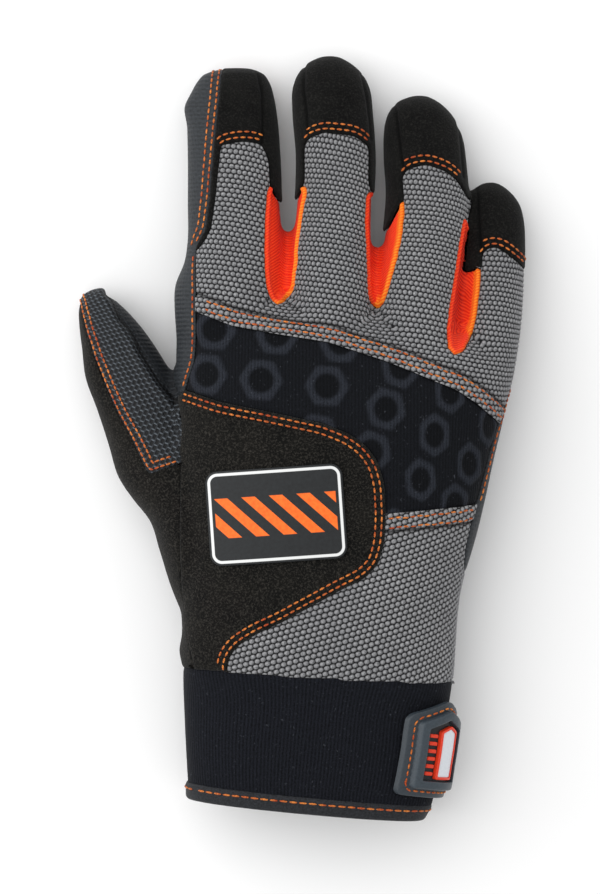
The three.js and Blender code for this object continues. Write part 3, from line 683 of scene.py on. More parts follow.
# Each nut: the pixel of its middle, its width's share where the cloth turns away, and its turn.
NUTS = [
    (261, 380, 1, 25), (327, 386, 1, 27), (386, 409, 0.92, 14), (435, 435, 0.75, 0), (471, 464, 0.62, 0),
    (421, 480, 0.76, 9), (206, 374, 0.95, 25), (214, 329, 1, 25), (277, 334, 1, 25), (341, 342, 1, 27),
    (401, 367, 0.9, 14), (451, 392, 0.75, 5), (491, 426, 0.5, 0), (371, 452, 0.95, 10),
    (456, 505, 0.7, 0), (317, 435, 1, 20), (395, 530, 0.9, 5),
]

# The gussets' rolled edge, the fold along the knit's lower edge, the seam lines sunk into the caps,
# and the crease down the thumb, beyond which its leather lies lower and smoother.
ROLL_AT_MM = 1.1
ROLL_WIDE_MM = 0.9
ROLL_RISE_MM = 1.1
ROLL_THIN_MM = -0.7
ROLL_MORE_MM = 2.9
BAND_MM = 5.4
BAND_RISE_MM = 0.5
CAP_HEIGHT_MM = 28
GROOVE_WIDE_MM = 0.55
GROOVE_DEEP_MM = 0.45
GROOVES = {
    "index_cap": [[(257, 70), (261, 90), (262, 120), (261.5, 142)]],
    "middle_cap": [
        [(305, 56), (304, 85), (307, 111), (308, 131)], [(362, 70), (367.5, 99), (370, 120), (371, 138)],
    ],
    "ring_cap": [
        [(397, 101), (400, 133), (402.5, 156), (405, 172)], [(460, 114), (462.3, 143), (464.5, 176)],
    ],
    "little_cap": [[(480, 186), (480.8, 223), (482.4, 252)]],
}
THUMB_HEIGHT_MM = 30
THUMB_CREASE = [
    (104, 292), (110, 297), (115, 307), (119, 318), (128, 326), (135, 337), (140, 351), (150, 368),
    (160, 383), (171, 395.5), (186, 413),
]
CREASE_DEEP_MM = 0.9
CREASE_STEP_MM = 1.1

# Local swellings of a panel: the pixel where each is, its height, its radius and its rise.
SWELLINGS = {
    "palm_panel": [(187, 108, 14, 4.5, 1.5), (457, 662, 22, 6.0, 1.8), (184, 285, 20, 6.0, 0.8)],
    "thumb_back": [(182, 650, 22, 4.0, 1.0), (90, 375, 18, 7.0, 0.8)],
    "saddle_panel": [(184, 650, 22, 4.0, 0.9)],
}


def panel_sheet(*names):
    """A copy of the parted form that keeps only the named panels."""
    numbers = {list(PANELS).index(name) for name in names}
    shape = parted.copy()
    layer = shape.faces.layers.int["panel"]
    dropped = [face for face in shape.faces if face[layer] not in numbers]
    bmesh.ops.delete(shape, geom=dropped, context="FACES")
    return shape


def seam_lines(name, others):
    """The seams between a panel and its neighbours, each a list of places in order, longest first."""
    number = list(PANELS).index(name)
    beyond = {list(PANELS).index(other) for other in others}
    links = {}
    for edge in parted.edges:
        sides = {face[panel_layer] for face in edge.link_faces}
        if number in sides and sides & beyond:
            a, b = edge.verts
            links.setdefault(a, []).append(b)
            links.setdefault(b, []).append(a)
    lines, used = [], set()
    for start in sorted(links, key=lambda vert: (len(links[vert]), vert.index)):
        if start in used:
            continue
        line, here = [start], start
        used.add(start)
        while here:
            here = next((vert for vert in links[here] if vert not in used), None)
            if here:
                used.add(here)
                line.append(here)
        lines.append(np.array([vert.co for vert in line]) / MM)
    return sorted(lines, key=len, reverse=True)


def even_line(line, step, passes=6):
    """A line smoothed a little and taken at even steps."""
    line = line.copy()
    for _ in range(passes):
        line[1:-1] = line[1:-1] * 0.5 + (line[:-2] + line[2:]) * 0.25
    length = np.concatenate([[0], np.cumsum(np.linalg.norm(np.diff(line, axis=0), axis=1))])
    at = np.arange(0, length[-1], step)
    return np.stack([np.interp(at, length, line[:, k]) for k in range(3)], axis=1)


def vertex_normals(mesh):
    found = np.zeros(len(mesh.vertices) * 3)
    mesh.vertex_normals.foreach_get("vector", found)
    return found.reshape(-1, 3)


def corner_pairs(mesh):
    """Opposite corners of the mesh's four-sided faces."""
    starts = np.zeros(len(mesh.polygons), dtype=np.int32)
    totals = np.zeros(len(mesh.polygons), dtype=np.int32)
    mesh.polygons.foreach_get("loop_start", starts)
    mesh.polygons.foreach_get("loop_total", totals)
    starts = starts[totals == 4]
    corner = loop_vertices(mesh)
    return np.concatenate([
        np.stack([corner[starts], corner[starts + 2]], axis=1),
        np.stack([corner[starts + 1], corner[starts + 3]], axis=1),
    ])


def lay_flat(mesh, upward, turn):
    """A UV map in millimetres: the plan, eased until the cloth's edges keep their lengths in it."""
    places = positions(mesh) / MM
    rise = places[:, 2].max() - places[:, 2] if upward else places[:, 2] - places[:, 2].min()
    flat = places[:, :2] + vertex_normals(mesh)[:, :2] * rise[:, None] * UNROLL_SHARE
    first, second = np.concatenate([edge_pairs(mesh), corner_pairs(mesh)]).T
    lengths = np.linalg.norm(places[first] - places[second], axis=1)
    count = len(places)
    degree = np.maximum(np.bincount(first, minlength=count) + np.bincount(second, minlength=count), 1)
    for _ in range(FLATTEN_PASSES):
        way = flat[second] - flat[first]
        now = np.maximum(np.linalg.norm(way, axis=1), 1e-6)
        pull = way * ((now - lengths) / now * 0.5)[:, None]
        for axis in (0, 1):
            moved = np.bincount(first, pull[:, axis], count) - np.bincount(second, pull[:, axis], count)
            flat[:, axis] += moved / degree * 1.6
    angle = math.radians(turn)
    turned = flat @ np.array([
        [math.cos(angle), math.sin(angle)],
        [-math.sin(angle), math.cos(angle)],
    ])
    mesh.uv_layers.new(name="cloth")
    set_loop_uvs(mesh, turned[loop_vertices(mesh)])


def loop_vertices(mesh):
    found = np.zeros(len(mesh.loops), dtype=np.int32)
    mesh.loops.foreach_get("vertex_index", found)
    return found


def loop_uvs(mesh):
    found = np.zeros(len(mesh.loops) * 2, dtype=np.float32)
    mesh.uv_layers[0].uv.foreach_get("vector", found)
    return found.reshape(-1, 2).astype(float)


def set_loop_uvs(mesh, uvs):
    mesh.uv_layers[0].uv.foreach_set("vector", np.asarray(uvs, dtype=np.float32).ravel())


def roll_uvs(mesh, centre, lean, half_wide, half_high, axis_height):
    """A tube's UV map in millimetres: round the tube and along it, with its join on the underside."""
    if not mesh.uv_layers:
        mesh.uv_layers.new(name="cloth")
    places = positions(mesh) / MM
    lean = math.radians(lean)
    offset = places[:, :2] - centre
    across = offset @ np.array([math.cos(lean), math.sin(lean)])
    along = offset @ np.array([-math.sin(lean), math.cos(lean)])
    angle = np.arctan2(across / half_wide, (places[:, 2] - axis_height) / half_high)
    girth = np.linspace(-math.pi, math.pi, 721)
    speed = np.hypot(half_wide * np.cos(girth), half_high * np.sin(girth))
    run = np.concatenate([[0], np.cumsum((speed[1:] + speed[:-1]) / 2 * np.diff(girth))])
    corner = loop_vertices(mesh)
    u = np.interp(angle, girth, run - run[-1] / 2)[corner]
    starts = np.zeros(len(mesh.polygons), dtype=np.int32)
    totals = np.zeros(len(mesh.polygons), dtype=np.int32)
    mesh.polygons.foreach_get("loop_start", starts)
    mesh.polygons.foreach_get("loop_total", totals)
    for start, total in zip(starts, totals):
        part = u[start:start + total]
        if part.max() - part.min() > run[-1] / 2:
            part[part < 0] += run[-1]
    set_loop_uvs(mesh, np.stack([u, along[corner]], axis=1))


def vertex_uvs(mesh):
    corner = loop_vertices(mesh)
    found = np.zeros((len(mesh.vertices), 2))
    found[corner] = loop_uvs(mesh)
    return found


def calmness(mesh, places, uv):
    """From 1 where the flat map keeps the cloth's own lengths, down to 0 where it is strained."""
    first, second = edge_pairs(mesh).T
    count = len(places)
    laid = np.linalg.norm(uv[first] - uv[second], axis=1)
    real = np.linalg.norm(places[first] - places[second], axis=1)
    laid = np.bincount(first, laid, count) + np.bincount(second, laid, count)
    real = np.bincount(first, real, count) + np.bincount(second, real, count)
    strain = np.abs(np.log(np.maximum(laid, 1e-6) / np.maximum(real, 1e-6)))
    return np.clip(1.5 - strain * 2.5, 0, 1)


def bubbles(u, v):
    """The knit's height, from 0 in its gaps to 1 on its bubbles, in rows that are staggered."""
    row = np.floor(v / BUBBLE_ROW_MM)
    across = (u / BUBBLE_PITCH_MM + 0.5 * (row % 2)) % 1 - 0.5
    along = (v / BUBBLE_ROW_MM) % 1 - 0.5
    round_off = np.abs(across * 2) ** BUBBLE_SQUARENESS + np.abs(along * 2) ** BUBBLE_SQUARENESS
    return np.clip(1 - round_off, 0, 1) ** 0.6


def nut_field(x, y):
    """How strongly each place in the plan lies in the ring of a nut, and in a nut's hole, from 0 to 1."""
    ring, hole = np.zeros(len(x)), np.zeros(len(x))
    for pixel_x, pixel_y, share, turn in NUTS:
        middle_x, middle_y = picture_place(pixel_x, pixel_y, NUT_HEIGHT_MM)
        dx, dy = (x - middle_x) / share, y - middle_y
        flats = np.zeros(len(x))
        for side in range(3):
            way = math.radians(turn + side * 60)
            flats += np.abs(dx * math.cos(way) + dy * math.sin(way)) ** 14
        outside = np.clip((NUT_FLATS_MM / 2 - flats ** (1 / 14)) / NUT_EDGE_MM + 0.5, 0, 1)
        inside = np.clip((np.hypot(dx, dy) - NUT_HOLE_MM / 2) / NUT_EDGE_MM + 0.5, 0, 1)
        ring = np.maximum(ring, outside * inside)
        hole = np.maximum(hole, 1 - inside)
    return ring * ring * (3 - 2 * ring), hole


def wrinkles(places, pitch):
    """A slow, fixed unevenness between -1 and 1."""
    return np.array([noise.noise(Vector(place) / pitch) for place in places])


def boundary_distance(mesh, shape):
    edge_places = [vert.co for vert in shape.verts if vert.is_boundary]
    tree = KDTree(len(edge_places))
    for k, place in enumerate(edge_places):
        tree.insert(place, k)
    tree.balance()
    return np.array([tree.find(vert.co)[2] for vert in mesh.vertices]) / MM


def line_distance(places, lines):
    """How far places are from the nearest point of any line, in millimetres."""
    every = np.concatenate(lines)
    tree = KDTree(len(every))
    for k, place in enumerate(every):
        tree.insert(place, k)
    tree.balance()
    return np.array([tree.find(place)[2] for place in places])


def hill(distance, wide):
    return np.exp(-(distance / wide) ** 2)


def own_relief(name, mesh, places, normals, away):
    """The rise of a panel's own folds, seams and embossing, in millimetres."""
    x, y, z = places.T
    height = np.zeros(len(x))
    if PANELS[name] == "gusset":
        beside = line_distance(places, seam_lines(name, ("upper_knit",)))
        height += ROLL_RISE_MM * hill(beside - ROLL_AT_MM, ROLL_WIDE_MM)
        # Painted shade: this mask turns the gusset red where its faces turn towards +X, away from the key lamp, and
        # further from its rolled edge. The next mask darkens it more, deep between the fingers.
        edge = ROLL_THIN_MM + ROLL_MORE_MM * np.clip(0.6 - normals[:, 0] * 1.4, 0, 1)
        add_value(mesh, "gusset_shade", np.clip((beside - edge) / 1.2, 0, 1))
        start, reach = (1.5, 6) if name == "ring_little_gusset" else (4.5, 8)
        add_value(mesh, "seam_and_shade", np.clip((beside - edge - start) / reach, 0, 1))
    if name in ("upper_knit", "lower_knit"):
        uv = vertex_uvs(mesh)
        fade = np.clip(away / 0.9, 0, 1) * calmness(mesh, places, uv)
        height += BUBBLE_RISE_MM * (bubbles(uv[:, 0], uv[:, 1]) - 0.6) * fade
        beside = line_distance(places, seam_lines(name, ("knuckle_panel",)))
        height += BAND_RISE_MM * (np.clip((BAND_MM - beside) / 0.8, 0, 1) - hill(beside - BAND_MM - 0.6, 0.6))
        # Painted shadow: a dark line along the foot of the knit's fold by the knuckle panel.
        add_value(mesh, "seam_and_shade", hill(beside - BAND_MM - 0.5, 0.5))
    if name == "knuckle_panel":
        nuts, holes = nut_field(x, y)
        add_value(mesh, "nut", nuts)
        add_value(mesh, "hole", holes)
        height += NUT_RISE_MM * nuts
    # Sunk seam lines on the caps, darkened as seam joints. The same attribute carries painted shade on the gussets,
    # the knit and the thumb.
    seam_and_shade = np.zeros(len(x))
    for pixels in GROOVES.get(name, ()):
        line = [picture_place(*pixel, CAP_HEIGHT_MM) for pixel in pixels]
        seam_and_shade = np.maximum(seam_and_shade, hill(to_line(x, y, line)[0], GROOVE_WIDE_MM))
    if seam_and_shade.any():
        height -= GROOVE_DEEP_MM * seam_and_shade
        add_value(mesh, "seam_and_shade", seam_and_shade)
    if name == "thumb_front":
        line = [picture_place(*pixel, THUMB_HEIGHT_MM) for pixel in THUMB_CREASE]
        distance, side = to_line(x, y, line)
        past = np.clip(distance * side / 2.0, 0, 1)
        height -= CREASE_STEP_MM * past + CREASE_DEEP_MM * hill(distance - 0.4, 0.9)
        height += 0.7 * hill(distance * side + 2.2, 1.6)
        add_value(mesh, "plain", past)
        # Painted shade: the crease is darkened.
        add_value(mesh, "seam_and_shade", hill(distance, 0.7))
    if name == "palm_panel":
        add_value(mesh, "plain", np.clip((z - 8) / 5, 0, 1))
    for pixel_x, pixel_y, level, radius, rise in SWELLINGS.get(name, ()):
        middle_x, middle_y = picture_place(pixel_x, pixel_y, level)
        far = np.sqrt((x - middle_x) ** 2 + (y - middle_y) ** 2 + ((z - level) / 1.5) ** 2)
        height += rise * hill(far, radius)
    return height


def add_value(mesh, name, values):
    attribute = mesh.attributes.new(name, "FLOAT", "POINT")
    attribute.data.foreach_set("value", np.asarray(values, dtype=np.float32))


def make_panel(name):
    """One panel: its sheet laid flat for the pattern, raised, rolled at its edges and embossed."""
    lift, drop, radius, cuts, _, wrinkle = SHAPES[name]
    shape = panel_sheet(name)
    mesh = bpy.data.meshes.new(name)
    shape.to_mesh(mesh)
    shape.free()
    thing = link(f"{name}_cloth", mesh)
    if name in ROLLED:
        roll_uvs(mesh, *ROLLED[name])
    elif PANELS[name] in PATTERNED:
        lay_flat(mesh, name != "palm_panel", PATTERN_TURNS.get(name, 0))
    shape = bmesh.new()
    shape.from_mesh(mesh)
    for _ in range(cuts):
        bmesh.ops.subdivide_edges(shape, edges=shape.edges, cuts=1, use_grid_fill=True)
    if cuts:
        bmesh.ops.smooth_vert(
            shape, verts=[vert for vert in shape.verts if not vert.is_boundary], factor=0.5,
            use_axis_x=True, use_axis_y=True, use_axis_z=True,
        )
    shape.normal_update()
    shape.to_mesh(mesh)
    away = boundary_distance(mesh, shape)
    shape.free()
    places = positions(mesh)
    normals = vertex_normals(mesh)
    roll = np.clip(1 - away / radius, 0, 1) ** 2
    height = lift - drop * roll
    height += wrinkle * wrinkles(places / MM, WRINKLE_PITCH_MM) * np.clip(away / 4, 0, 1)
    height += own_relief(name, mesh, places / MM, normals, away)
    moved = places + normals * height[:, None] * MM
    if name == "cuff_body":
        tucked = np.clip(1 - away / TUCK_REACH_MM, 0, 1) * (places[:, 1] < TUCK_BELOW_MM * MM)
        moved[:, 1] -= TUCK_MM * tucked * MM
    moved[:, 2] = np.maximum(moved[:, 2], 0)
    set_positions(mesh, moved)
    shade_smooth(mesh)
    return thing


panels = {name: make_panel(name) for name in PANELS}

# The closure tab, as heights above the cuff and sizes on its own plan.
STRAP_LOW_MM = 0.15
STRAP_MM = 1.3
STRAP_WIDTH_MM = 25
STRAP_MIDDLE = -0.5
STRAP_START = 0.45
STRAP_END = -0.08
TAB_WIDTH_MM = 27
TAB_LENGTH_MM = 32.5
TAB_PITCH = 0.45
TAB_CORNER_MM = 2.0
TAB_PLACE = (0.512, -0.42)
TAB_LEAN = -9
TAB_FACING = 51
TAB_RISE = 0.74
TAB_LOW_MM = 1.5
TAB_TOP_MM = 3.3
RIM_INSET_MM = 2.9
RIM_WIDTH_MM = 2.8
RIM_TOP_MM = 5.6
WINDOW_WIDTH_MM = 9
WINDOW_LENGTH_MM = 18
WINDOW_BORDER_MM = 0.9
WINDOW_PLACE = (1.9, -0.9)
BARS = 6
BAR_LONG_MM = 3.0
BAR_WIDE_MM = 1.2
BAR_PITCH_MM = 2.5
BARS_PLACE = (-5.0, -8.2)
BAR_TOP_MM = 4.1
TAB_STITCH_INSET_MM = 1.9
TAB_STITCH_PITCH_MM = 2.4
WINDOW_TOP_MM = 4.3
BORDER_TOP_MM = 4.7

# The plain badge on the saddle panel.
BADGE_WIDTH_MM = 45
BADGE_LENGTH_MM = 31
BADGE_CORNER_MM = 4
BADGE_TURN = 4
BADGE_PLACE = (-0.068, 0.457)
BADGE_LOW_MM = 0.5
BADGE_TOP_MM = 1.15


def house(width, length, corner, inset=0.0, middle=(0, 0)):
    """A face with a pointed top and rounded corners, taken in by inset, at height 0."""
    half = width / 2 - inset
    bottom = inset - length / 2
    top = length / 2 - inset * math.hypot(1, TAB_PITCH)
    shoulder = top - half * TAB_PITCH
    outline = [(-half, bottom), (half, bottom), (half, shoulder), (0, top), (-half, shoulder)]
    shape = bmesh.new()
    verts = [shape.verts.new((middle[0] + x, middle[1] + y, 0)) for x, y in outline]
    shape.faces.new(verts)
    if corner > 0:
        bmesh.ops.bevel(
            shape, geom=shape.verts[:], offset=corner, segments=5, profile=0.5,
            affect="VERTICES", material=-1,
        )
    return shape


def rounded_oblong(width, length, corner):
    shape = bmesh.new()
    corners = [(-1, -1), (1, -1), (1, 1), (-1, 1)]
    verts = [shape.verts.new((x * width / 2, y * length / 2, 0)) for x, y in corners]
    shape.faces.new(verts)
    bmesh.ops.bevel(
        shape, geom=shape.verts[:], offset=corner, segments=8, profile=0.5,
        affect="VERTICES", material=-1,
    )
    return shape


def band(width, length, outer, inner, corner, inner_corner, middle=(0, 0)):
    """A flat band between two pointed outlines, one inside the other."""
    shape = house(width, length, corner, outer, middle)
    inside = house(width, length, inner_corner, inner, middle)
    mesh = bpy.data.meshes.new("inside")
    inside.to_mesh(mesh)
    inside.free()
    shape.from_mesh(mesh)
    bpy.data.meshes.remove(mesh)
    bmesh.ops.delete(shape, geom=shape.faces[:], context="FACES_ONLY")
    bmesh.ops.bridge_loops(shape, edges=shape.edges[:])
    bmesh.ops.recalc_face_normals(shape, faces=shape.faces)
    if sum(face.normal.z for face in shape.faces) < 0:
        bmesh.ops.reverse_faces(shape, faces=shape.faces)
    return shape


def thicken(shape, low, high, bevel, segments=3):
    """Stands a flat outline up from low to high, with its top edge rounded."""
    bmesh.ops.translate(shape, verts=shape.verts, vec=(0, 0, low))
    flat = shape.faces[:]
    made = bmesh.ops.extrude_face_region(shape, geom=flat, use_keep_orig=True)
    top = [item for item in made["geom"] if isinstance(item, bmesh.types.BMVert)]
    bmesh.ops.translate(shape, verts=top, vec=(0, 0, high - low))
    bmesh.ops.recalc_face_normals(shape, faces=shape.faces)
    rim = [
        edge for edge in shape.edges
        if all(abs(vert.co.z - high) < 1e-6 for vert in edge.verts)
        and any(abs(face.normal.z) < 0.5 for face in edge.link_faces)
    ]
    if bevel > 0:
        bmesh.ops.bevel(
            shape, geom=rim, offset=bevel, segments=segments, profile=0.5,
            affect="EDGES", material=-1,
        )


def slice_up(shape, step):
    """Cuts a flat piece across and along, so that it can bend over what it lies on."""
    for axis in (0, 1):
        ends = [vert.co[axis] for vert in shape.verts]
        low, high = min(ends), max(ends)
        normal = Vector((1, 0, 0)) if axis == 0 else Vector((0, 1, 0))
        for k in range(1, int((high - low) / step) + 1):
            geom = shape.verts[:] + shape.edges[:] + shape.faces[:]
            bmesh.ops.bisect_plane(shape, geom=geom, dist=1e-5, plane_co=normal * (low + k * step), plane_no=normal)


def tab_matrix():
    x, y = plan_place("cuff", *TAB_PLACE)
    return (
        Matrix.Translation((x, y, CUFF["thickness"] * TAB_RISE))
        @ Matrix.Rotation(math.radians(TAB_LEAN), 4, "Z")
        @ Matrix.Rotation(math.radians(TAB_FACING), 4, "Y")
    )


def badge_matrix():
    x, y = plan_place("palm", *BADGE_PLACE)
    return Matrix.Translation((x, y, PALM["thickness"])) @ Matrix.Rotation(math.radians(BADGE_TURN), 4, "Z")


def lay_on_glove(shape, place, tree, lift=0.0):
    """Bends a flat piece over the glove, along the way that its plan faces, and keeps its plan as a UV map."""
    plan = shape.loops.layers.uv.new("plan")
    for face in shape.faces:
        for loop in face.loops:
            loop[plan].uv = loop.vert.co.xy
    facing = place.to_3x3() @ Vector((0, 0, 1))
    for vert in shape.verts:
        x, y, height = vert.co
        above = place @ Vector((x, y, 60))
        hit = tree.ray_cast(above * MM, -facing)[0]
        vert.co = hit + facing * (height + lift) * MM


def finished_piece(name, shape):
    bmesh.ops.recalc_face_normals(shape, faces=shape.faces)
    mesh = bpy.data.meshes.new(name)
    shape.to_mesh(mesh)
    shape.free()
    shade_smooth(mesh)
    return link(name, mesh)


def sharp_edges(thing, degrees):
    """Flat facets meet at crisp edges, and gentle ones are shaded smooth."""
    shape = bmesh.new()
    shape.from_mesh(thing.data)
    for edge in shape.edges:
        edge.smooth = not (edge.is_manifold and edge.calc_face_angle(0) > math.radians(degrees))
    shape.to_mesh(thing.data)
    shape.free()


def smooth_cuff_tree():
    """The cuff alone, from the bare form without its cloth's wrinkles, so that the moulded tab bends in one plain
    curve.
    """
    shape = panel_sheet("cuff_body", "cuff_hem")
    tree = BVHTree.FromBMesh(shape)
    shape.free()
    return tree


cuff_tree = smooth_cuff_tree()


def make_tab():
    place = tab_matrix()
    base = house(TAB_WIDTH_MM, TAB_LENGTH_MM, TAB_CORNER_MM)
    thicken(base, TAB_LOW_MM, TAB_TOP_MM, 0.5)
    rim = band(TAB_WIDTH_MM, TAB_LENGTH_MM, RIM_INSET_MM, RIM_INSET_MM + RIM_WIDTH_MM, 1.0, 0.4)
    thicken(rim, TAB_TOP_MM, RIM_TOP_MM, 0.6, 2)
    border = band(WINDOW_WIDTH_MM, WINDOW_LENGTH_MM, 0, WINDOW_BORDER_MM, 0.6, 0.3, WINDOW_PLACE)
    thicken(border, TAB_TOP_MM, BORDER_TOP_MM, 0.25)
    for k in range(BARS):
        bar = rounded_oblong(BAR_LONG_MM, BAR_WIDE_MM, 0.3)
        thicken(bar, TAB_TOP_MM, BAR_TOP_MM, 0.15, 1)
        bmesh.ops.translate(bar, verts=bar.verts, vec=(BARS_PLACE[0], BARS_PLACE[1] + k * BAR_PITCH_MM, 0))
        mesh = bpy.data.meshes.new("bar")
        bar.to_mesh(mesh)
        bar.free()
        border.from_mesh(mesh)
        bpy.data.meshes.remove(mesh)
    window = house(WINDOW_WIDTH_MM, WINDOW_LENGTH_MM, 0.3, WINDOW_BORDER_MM, WINDOW_PLACE)
    thicken(window, TAB_TOP_MM, WINDOW_TOP_MM, 0.15)
    made = {}
    for name, shape in (("tab_base", base), ("tab_rim", rim), ("tab_window_edge", border), ("tab_window", window)):
        slice_up(shape, 1.5)
        lay_on_glove(shape, place, cuff_tree)
        made[name] = finished_piece(f"{name}_moulded", shape)
        sharp_edges(made[name], 50)
    return made


def make_strap():
    """The strap lies on the cuff from under the tab, round its side and onto the palm side."""
    shape = panel_sheet("cuff_body", "cuff_hem")
    lean = math.radians(CUFF["lean"])
    along = Vector((-math.sin(lean), math.cos(lean), 0))
    across = Vector((math.cos(lean), math.sin(lean), 0))
    middle = plan_place("cuff", 0, STRAP_MIDDLE)
    middle = Vector((middle[0], middle[1], 0)) * MM
    cuts = [
        (middle + along * STRAP_WIDTH_MM / 2 * MM, along, None),
        (middle - along * STRAP_WIDTH_MM / 2 * MM, -along, None),
        (middle + across * STRAP_START * CUFF["width"] * MM, -across, True),
        (middle + across * STRAP_END * CUFF["width"] * MM, -across, False),
    ]
    half_up = CUFF["thickness"] / 2 * MM
    for point, normal, on_back in cuts:
        faces = [
            face for face in shape.faces
            if on_back is None or (face.calc_center_median().z > half_up) == on_back
        ]
        geom = faces + list({edge for face in faces for edge in face.edges})
        geom += list({vert for face in faces for vert in face.verts})
        bmesh.ops.bisect_plane(
            shape, geom=geom, dist=1e-7, plane_co=point, plane_no=normal, clear_outer=True,
        )
    shape.normal_update()
    for vert in shape.verts:
        vert.co += vert.normal * (STRAP_LOW_MM + STRAP_MM) * MM
        vert.co.z = max(vert.co.z, 0)
    thing = finished_piece("wrist_strap_cloth", shape)
    roll_uvs(thing.data, *CUFF_ROLL)
    return thing


def make_badge():
    shape = rounded_oblong(BADGE_WIDTH_MM, BADGE_LENGTH_MM, BADGE_CORNER_MM)
    thicken(shape, BADGE_LOW_MM, BADGE_TOP_MM, 0.3)
    slice_up(shape, 2.0)
    lay_on_glove(shape, badge_matrix(), form_tree, SHAPES["saddle_panel"][0])
    return finished_piece("badge_patch", shape)


pieces = dict(panels)
pieces["wrist_strap"] = make_strap()
pieces.update(make_tab())
pieces["badge"] = make_badge()

# Stitch rows: the piece that carries them, the neighbours whose seam they follow, how far from the
# seam they lie, the pitch of the stitches, and the x and y ranges in the plan, all in millimetres.
STITCH_GAP_MM = 0.35
STITCH_WIDTH_MM = 0.7
STITCH_HEIGHT_MM = 0.55
LOWEST_STITCH_MM = 1.2
ANYWHERE = (-200, 200, -200, 200)
STITCH_ROWS = [
    ("upper_knit", ("knuckle_panel",), (1.8, 4.6), 2.4, ANYWHERE),
    ("saddle_panel", ("knuckle_panel", "lower_knit"), (1.3, 3.3), 2.3, ANYWHERE),
    ("lower_knit", ("knuckle_panel",), (1.6, 4.6), 2.4, ANYWHERE),
    ("index_cap", ("upper_knit",), (1.3, 3.3), 2.3, (-27, -12.5, 96, 130)),
    ("middle_cap", ("upper_knit",), (1.3, 3.3), 2.3, (1.8, 23.2, 99, 130)),
    ("ring_cap", ("upper_knit",), (1.3, 3.3), 2.3, (33.8, 53, 86, 130)),
    ("little_cap", ("upper_knit",), (1.3, 3.3), 2.3, (60, 80, 59, 130)),
    ("palm_panel", ("index_cap", "upper_knit"), (1.0, 3.3), 2.3, (-60, 0, 64, 130)),
    ("palm_panel", ("upper_knit", "knuckle_panel"), (1.0,), 2.3, (-60, 90, -90, 64)),
    ("thumb_front", ("thumb_back",), (1.0, 3.2), 2.1, ANYWHERE),
    ("cuff_hem", ("cuff_body",), (1.7,), 3.2, ANYWHERE),
]


def add_stitch(shape, place, along, up, length):
    side = up.cross(along).normalized()
    up = along.cross(side).normalized()
    turn = Matrix((side, along, up)).transposed().to_4x4()
    size = Matrix.Diagonal((STITCH_WIDTH_MM / 2, length / 2, STITCH_HEIGHT_MM / 2, 1))
    matrix = Matrix.Translation(place * MM) @ turn @ (size * MM).to_3x3().to_4x4()
    bmesh.ops.create_uvsphere(shape, u_segments=8, v_segments=6, radius=1, matrix=matrix)


def even_stitches(shape, row, pitch, limits):
    """Stitches end to end along a row of places and normals."""
    places = np.array([place for place, _ in row])
    ways = even_line(places, 0.4, 8)
    if len(ways) < 4:
        return
    rises = KDTree(len(row))
    for k, (place, _) in enumerate(row):
        rises.insert(place, k)
    rises.balance()
    step = max(int(round(pitch / 0.4)), 2)
    for k in range(step // 2, len(ways) - step // 2, step):
        start, end = Vector(ways[max(k - 2, 0)]), Vector(ways[min(k + 2, len(ways) - 1)])
        here = Vector(ways[k])
        if limits[0] < here.x < limits[1] and limits[2] < here.y < limits[3] and here.z > LOWEST_STITCH_MM:
            place, up = row[rises.find(here)[1]]
            here = here + up * ((place - here).dot(up) + 0.1)
            add_stitch(shape, here, (end - start).normalized(), up, pitch - STITCH_GAP_MM)


def tab_stitches(shape):
    """A row of stitches between the moulded tab's edge and its rim."""
    outline = house(TAB_WIDTH_MM, TAB_LENGTH_MM, TAB_CORNER_MM, TAB_STITCH_INSET_MM)
    corners = [vert.co.copy() for vert in outline.faces[:][0].verts]
    outline.free()
    line = even_line(np.array([tuple(corner) for corner in corners + corners[:1]]), TAB_STITCH_PITCH_MM, 0)
    place = tab_matrix()
    facing = place.to_3x3() @ Vector((0, 0, 1))
    laid = []
    for x, y, _ in line:
        hit = cuff_tree.ray_cast((place @ Vector((x, y, 60))) * MM, -facing)[0]
        laid.append(hit / MM + facing * (TAB_TOP_MM + 0.1))
    for k, here in enumerate(laid):
        along = laid[(k + 1) % len(laid)] - laid[k - 1]
        add_stitch(shape, here, along.normalized(), facing, TAB_STITCH_PITCH_MM - STITCH_GAP_MM)


def stitch_rows():
    made = {}
    for carrier, others, offsets, pitch, limits in STITCH_ROWS:
        tree = BVHTree.FromObject(pieces[carrier], bpy.context.evaluated_depsgraph_get())
        lines = [line for line in seam_lines(carrier, others) if len(line) > 8]
        shape = made.setdefault(carrier, bmesh.new())
        for line in lines:
            line = even_line(line, 0.5, 10)
            for offset in offsets:
                row = []
                for k in range(1, len(line) - 1):
                    here = Vector(line[k])
                    along = Vector(line[min(k + 4, len(line) - 1)] - line[max(k - 4, 0)]).normalized()
                    up = form_tree.find_nearest(here * MM)[1]
                    side = up.cross(along)
                    hits = [tree.find_nearest((here + side * way) * MM) for way in (offset, -offset)]
                    place, rise, _, _ = min(hits, key=lambda hit: hit[3])
                    row.append((place / MM, rise))
                even_stitches(shape, row, pitch, limits)
    made["tab"] = bmesh.new()
    tab_stitches(made["tab"])
    return [finished_piece(f"stitches_{carrier}", shape) for carrier, shape in made.items()]


threads = stitch_rows()


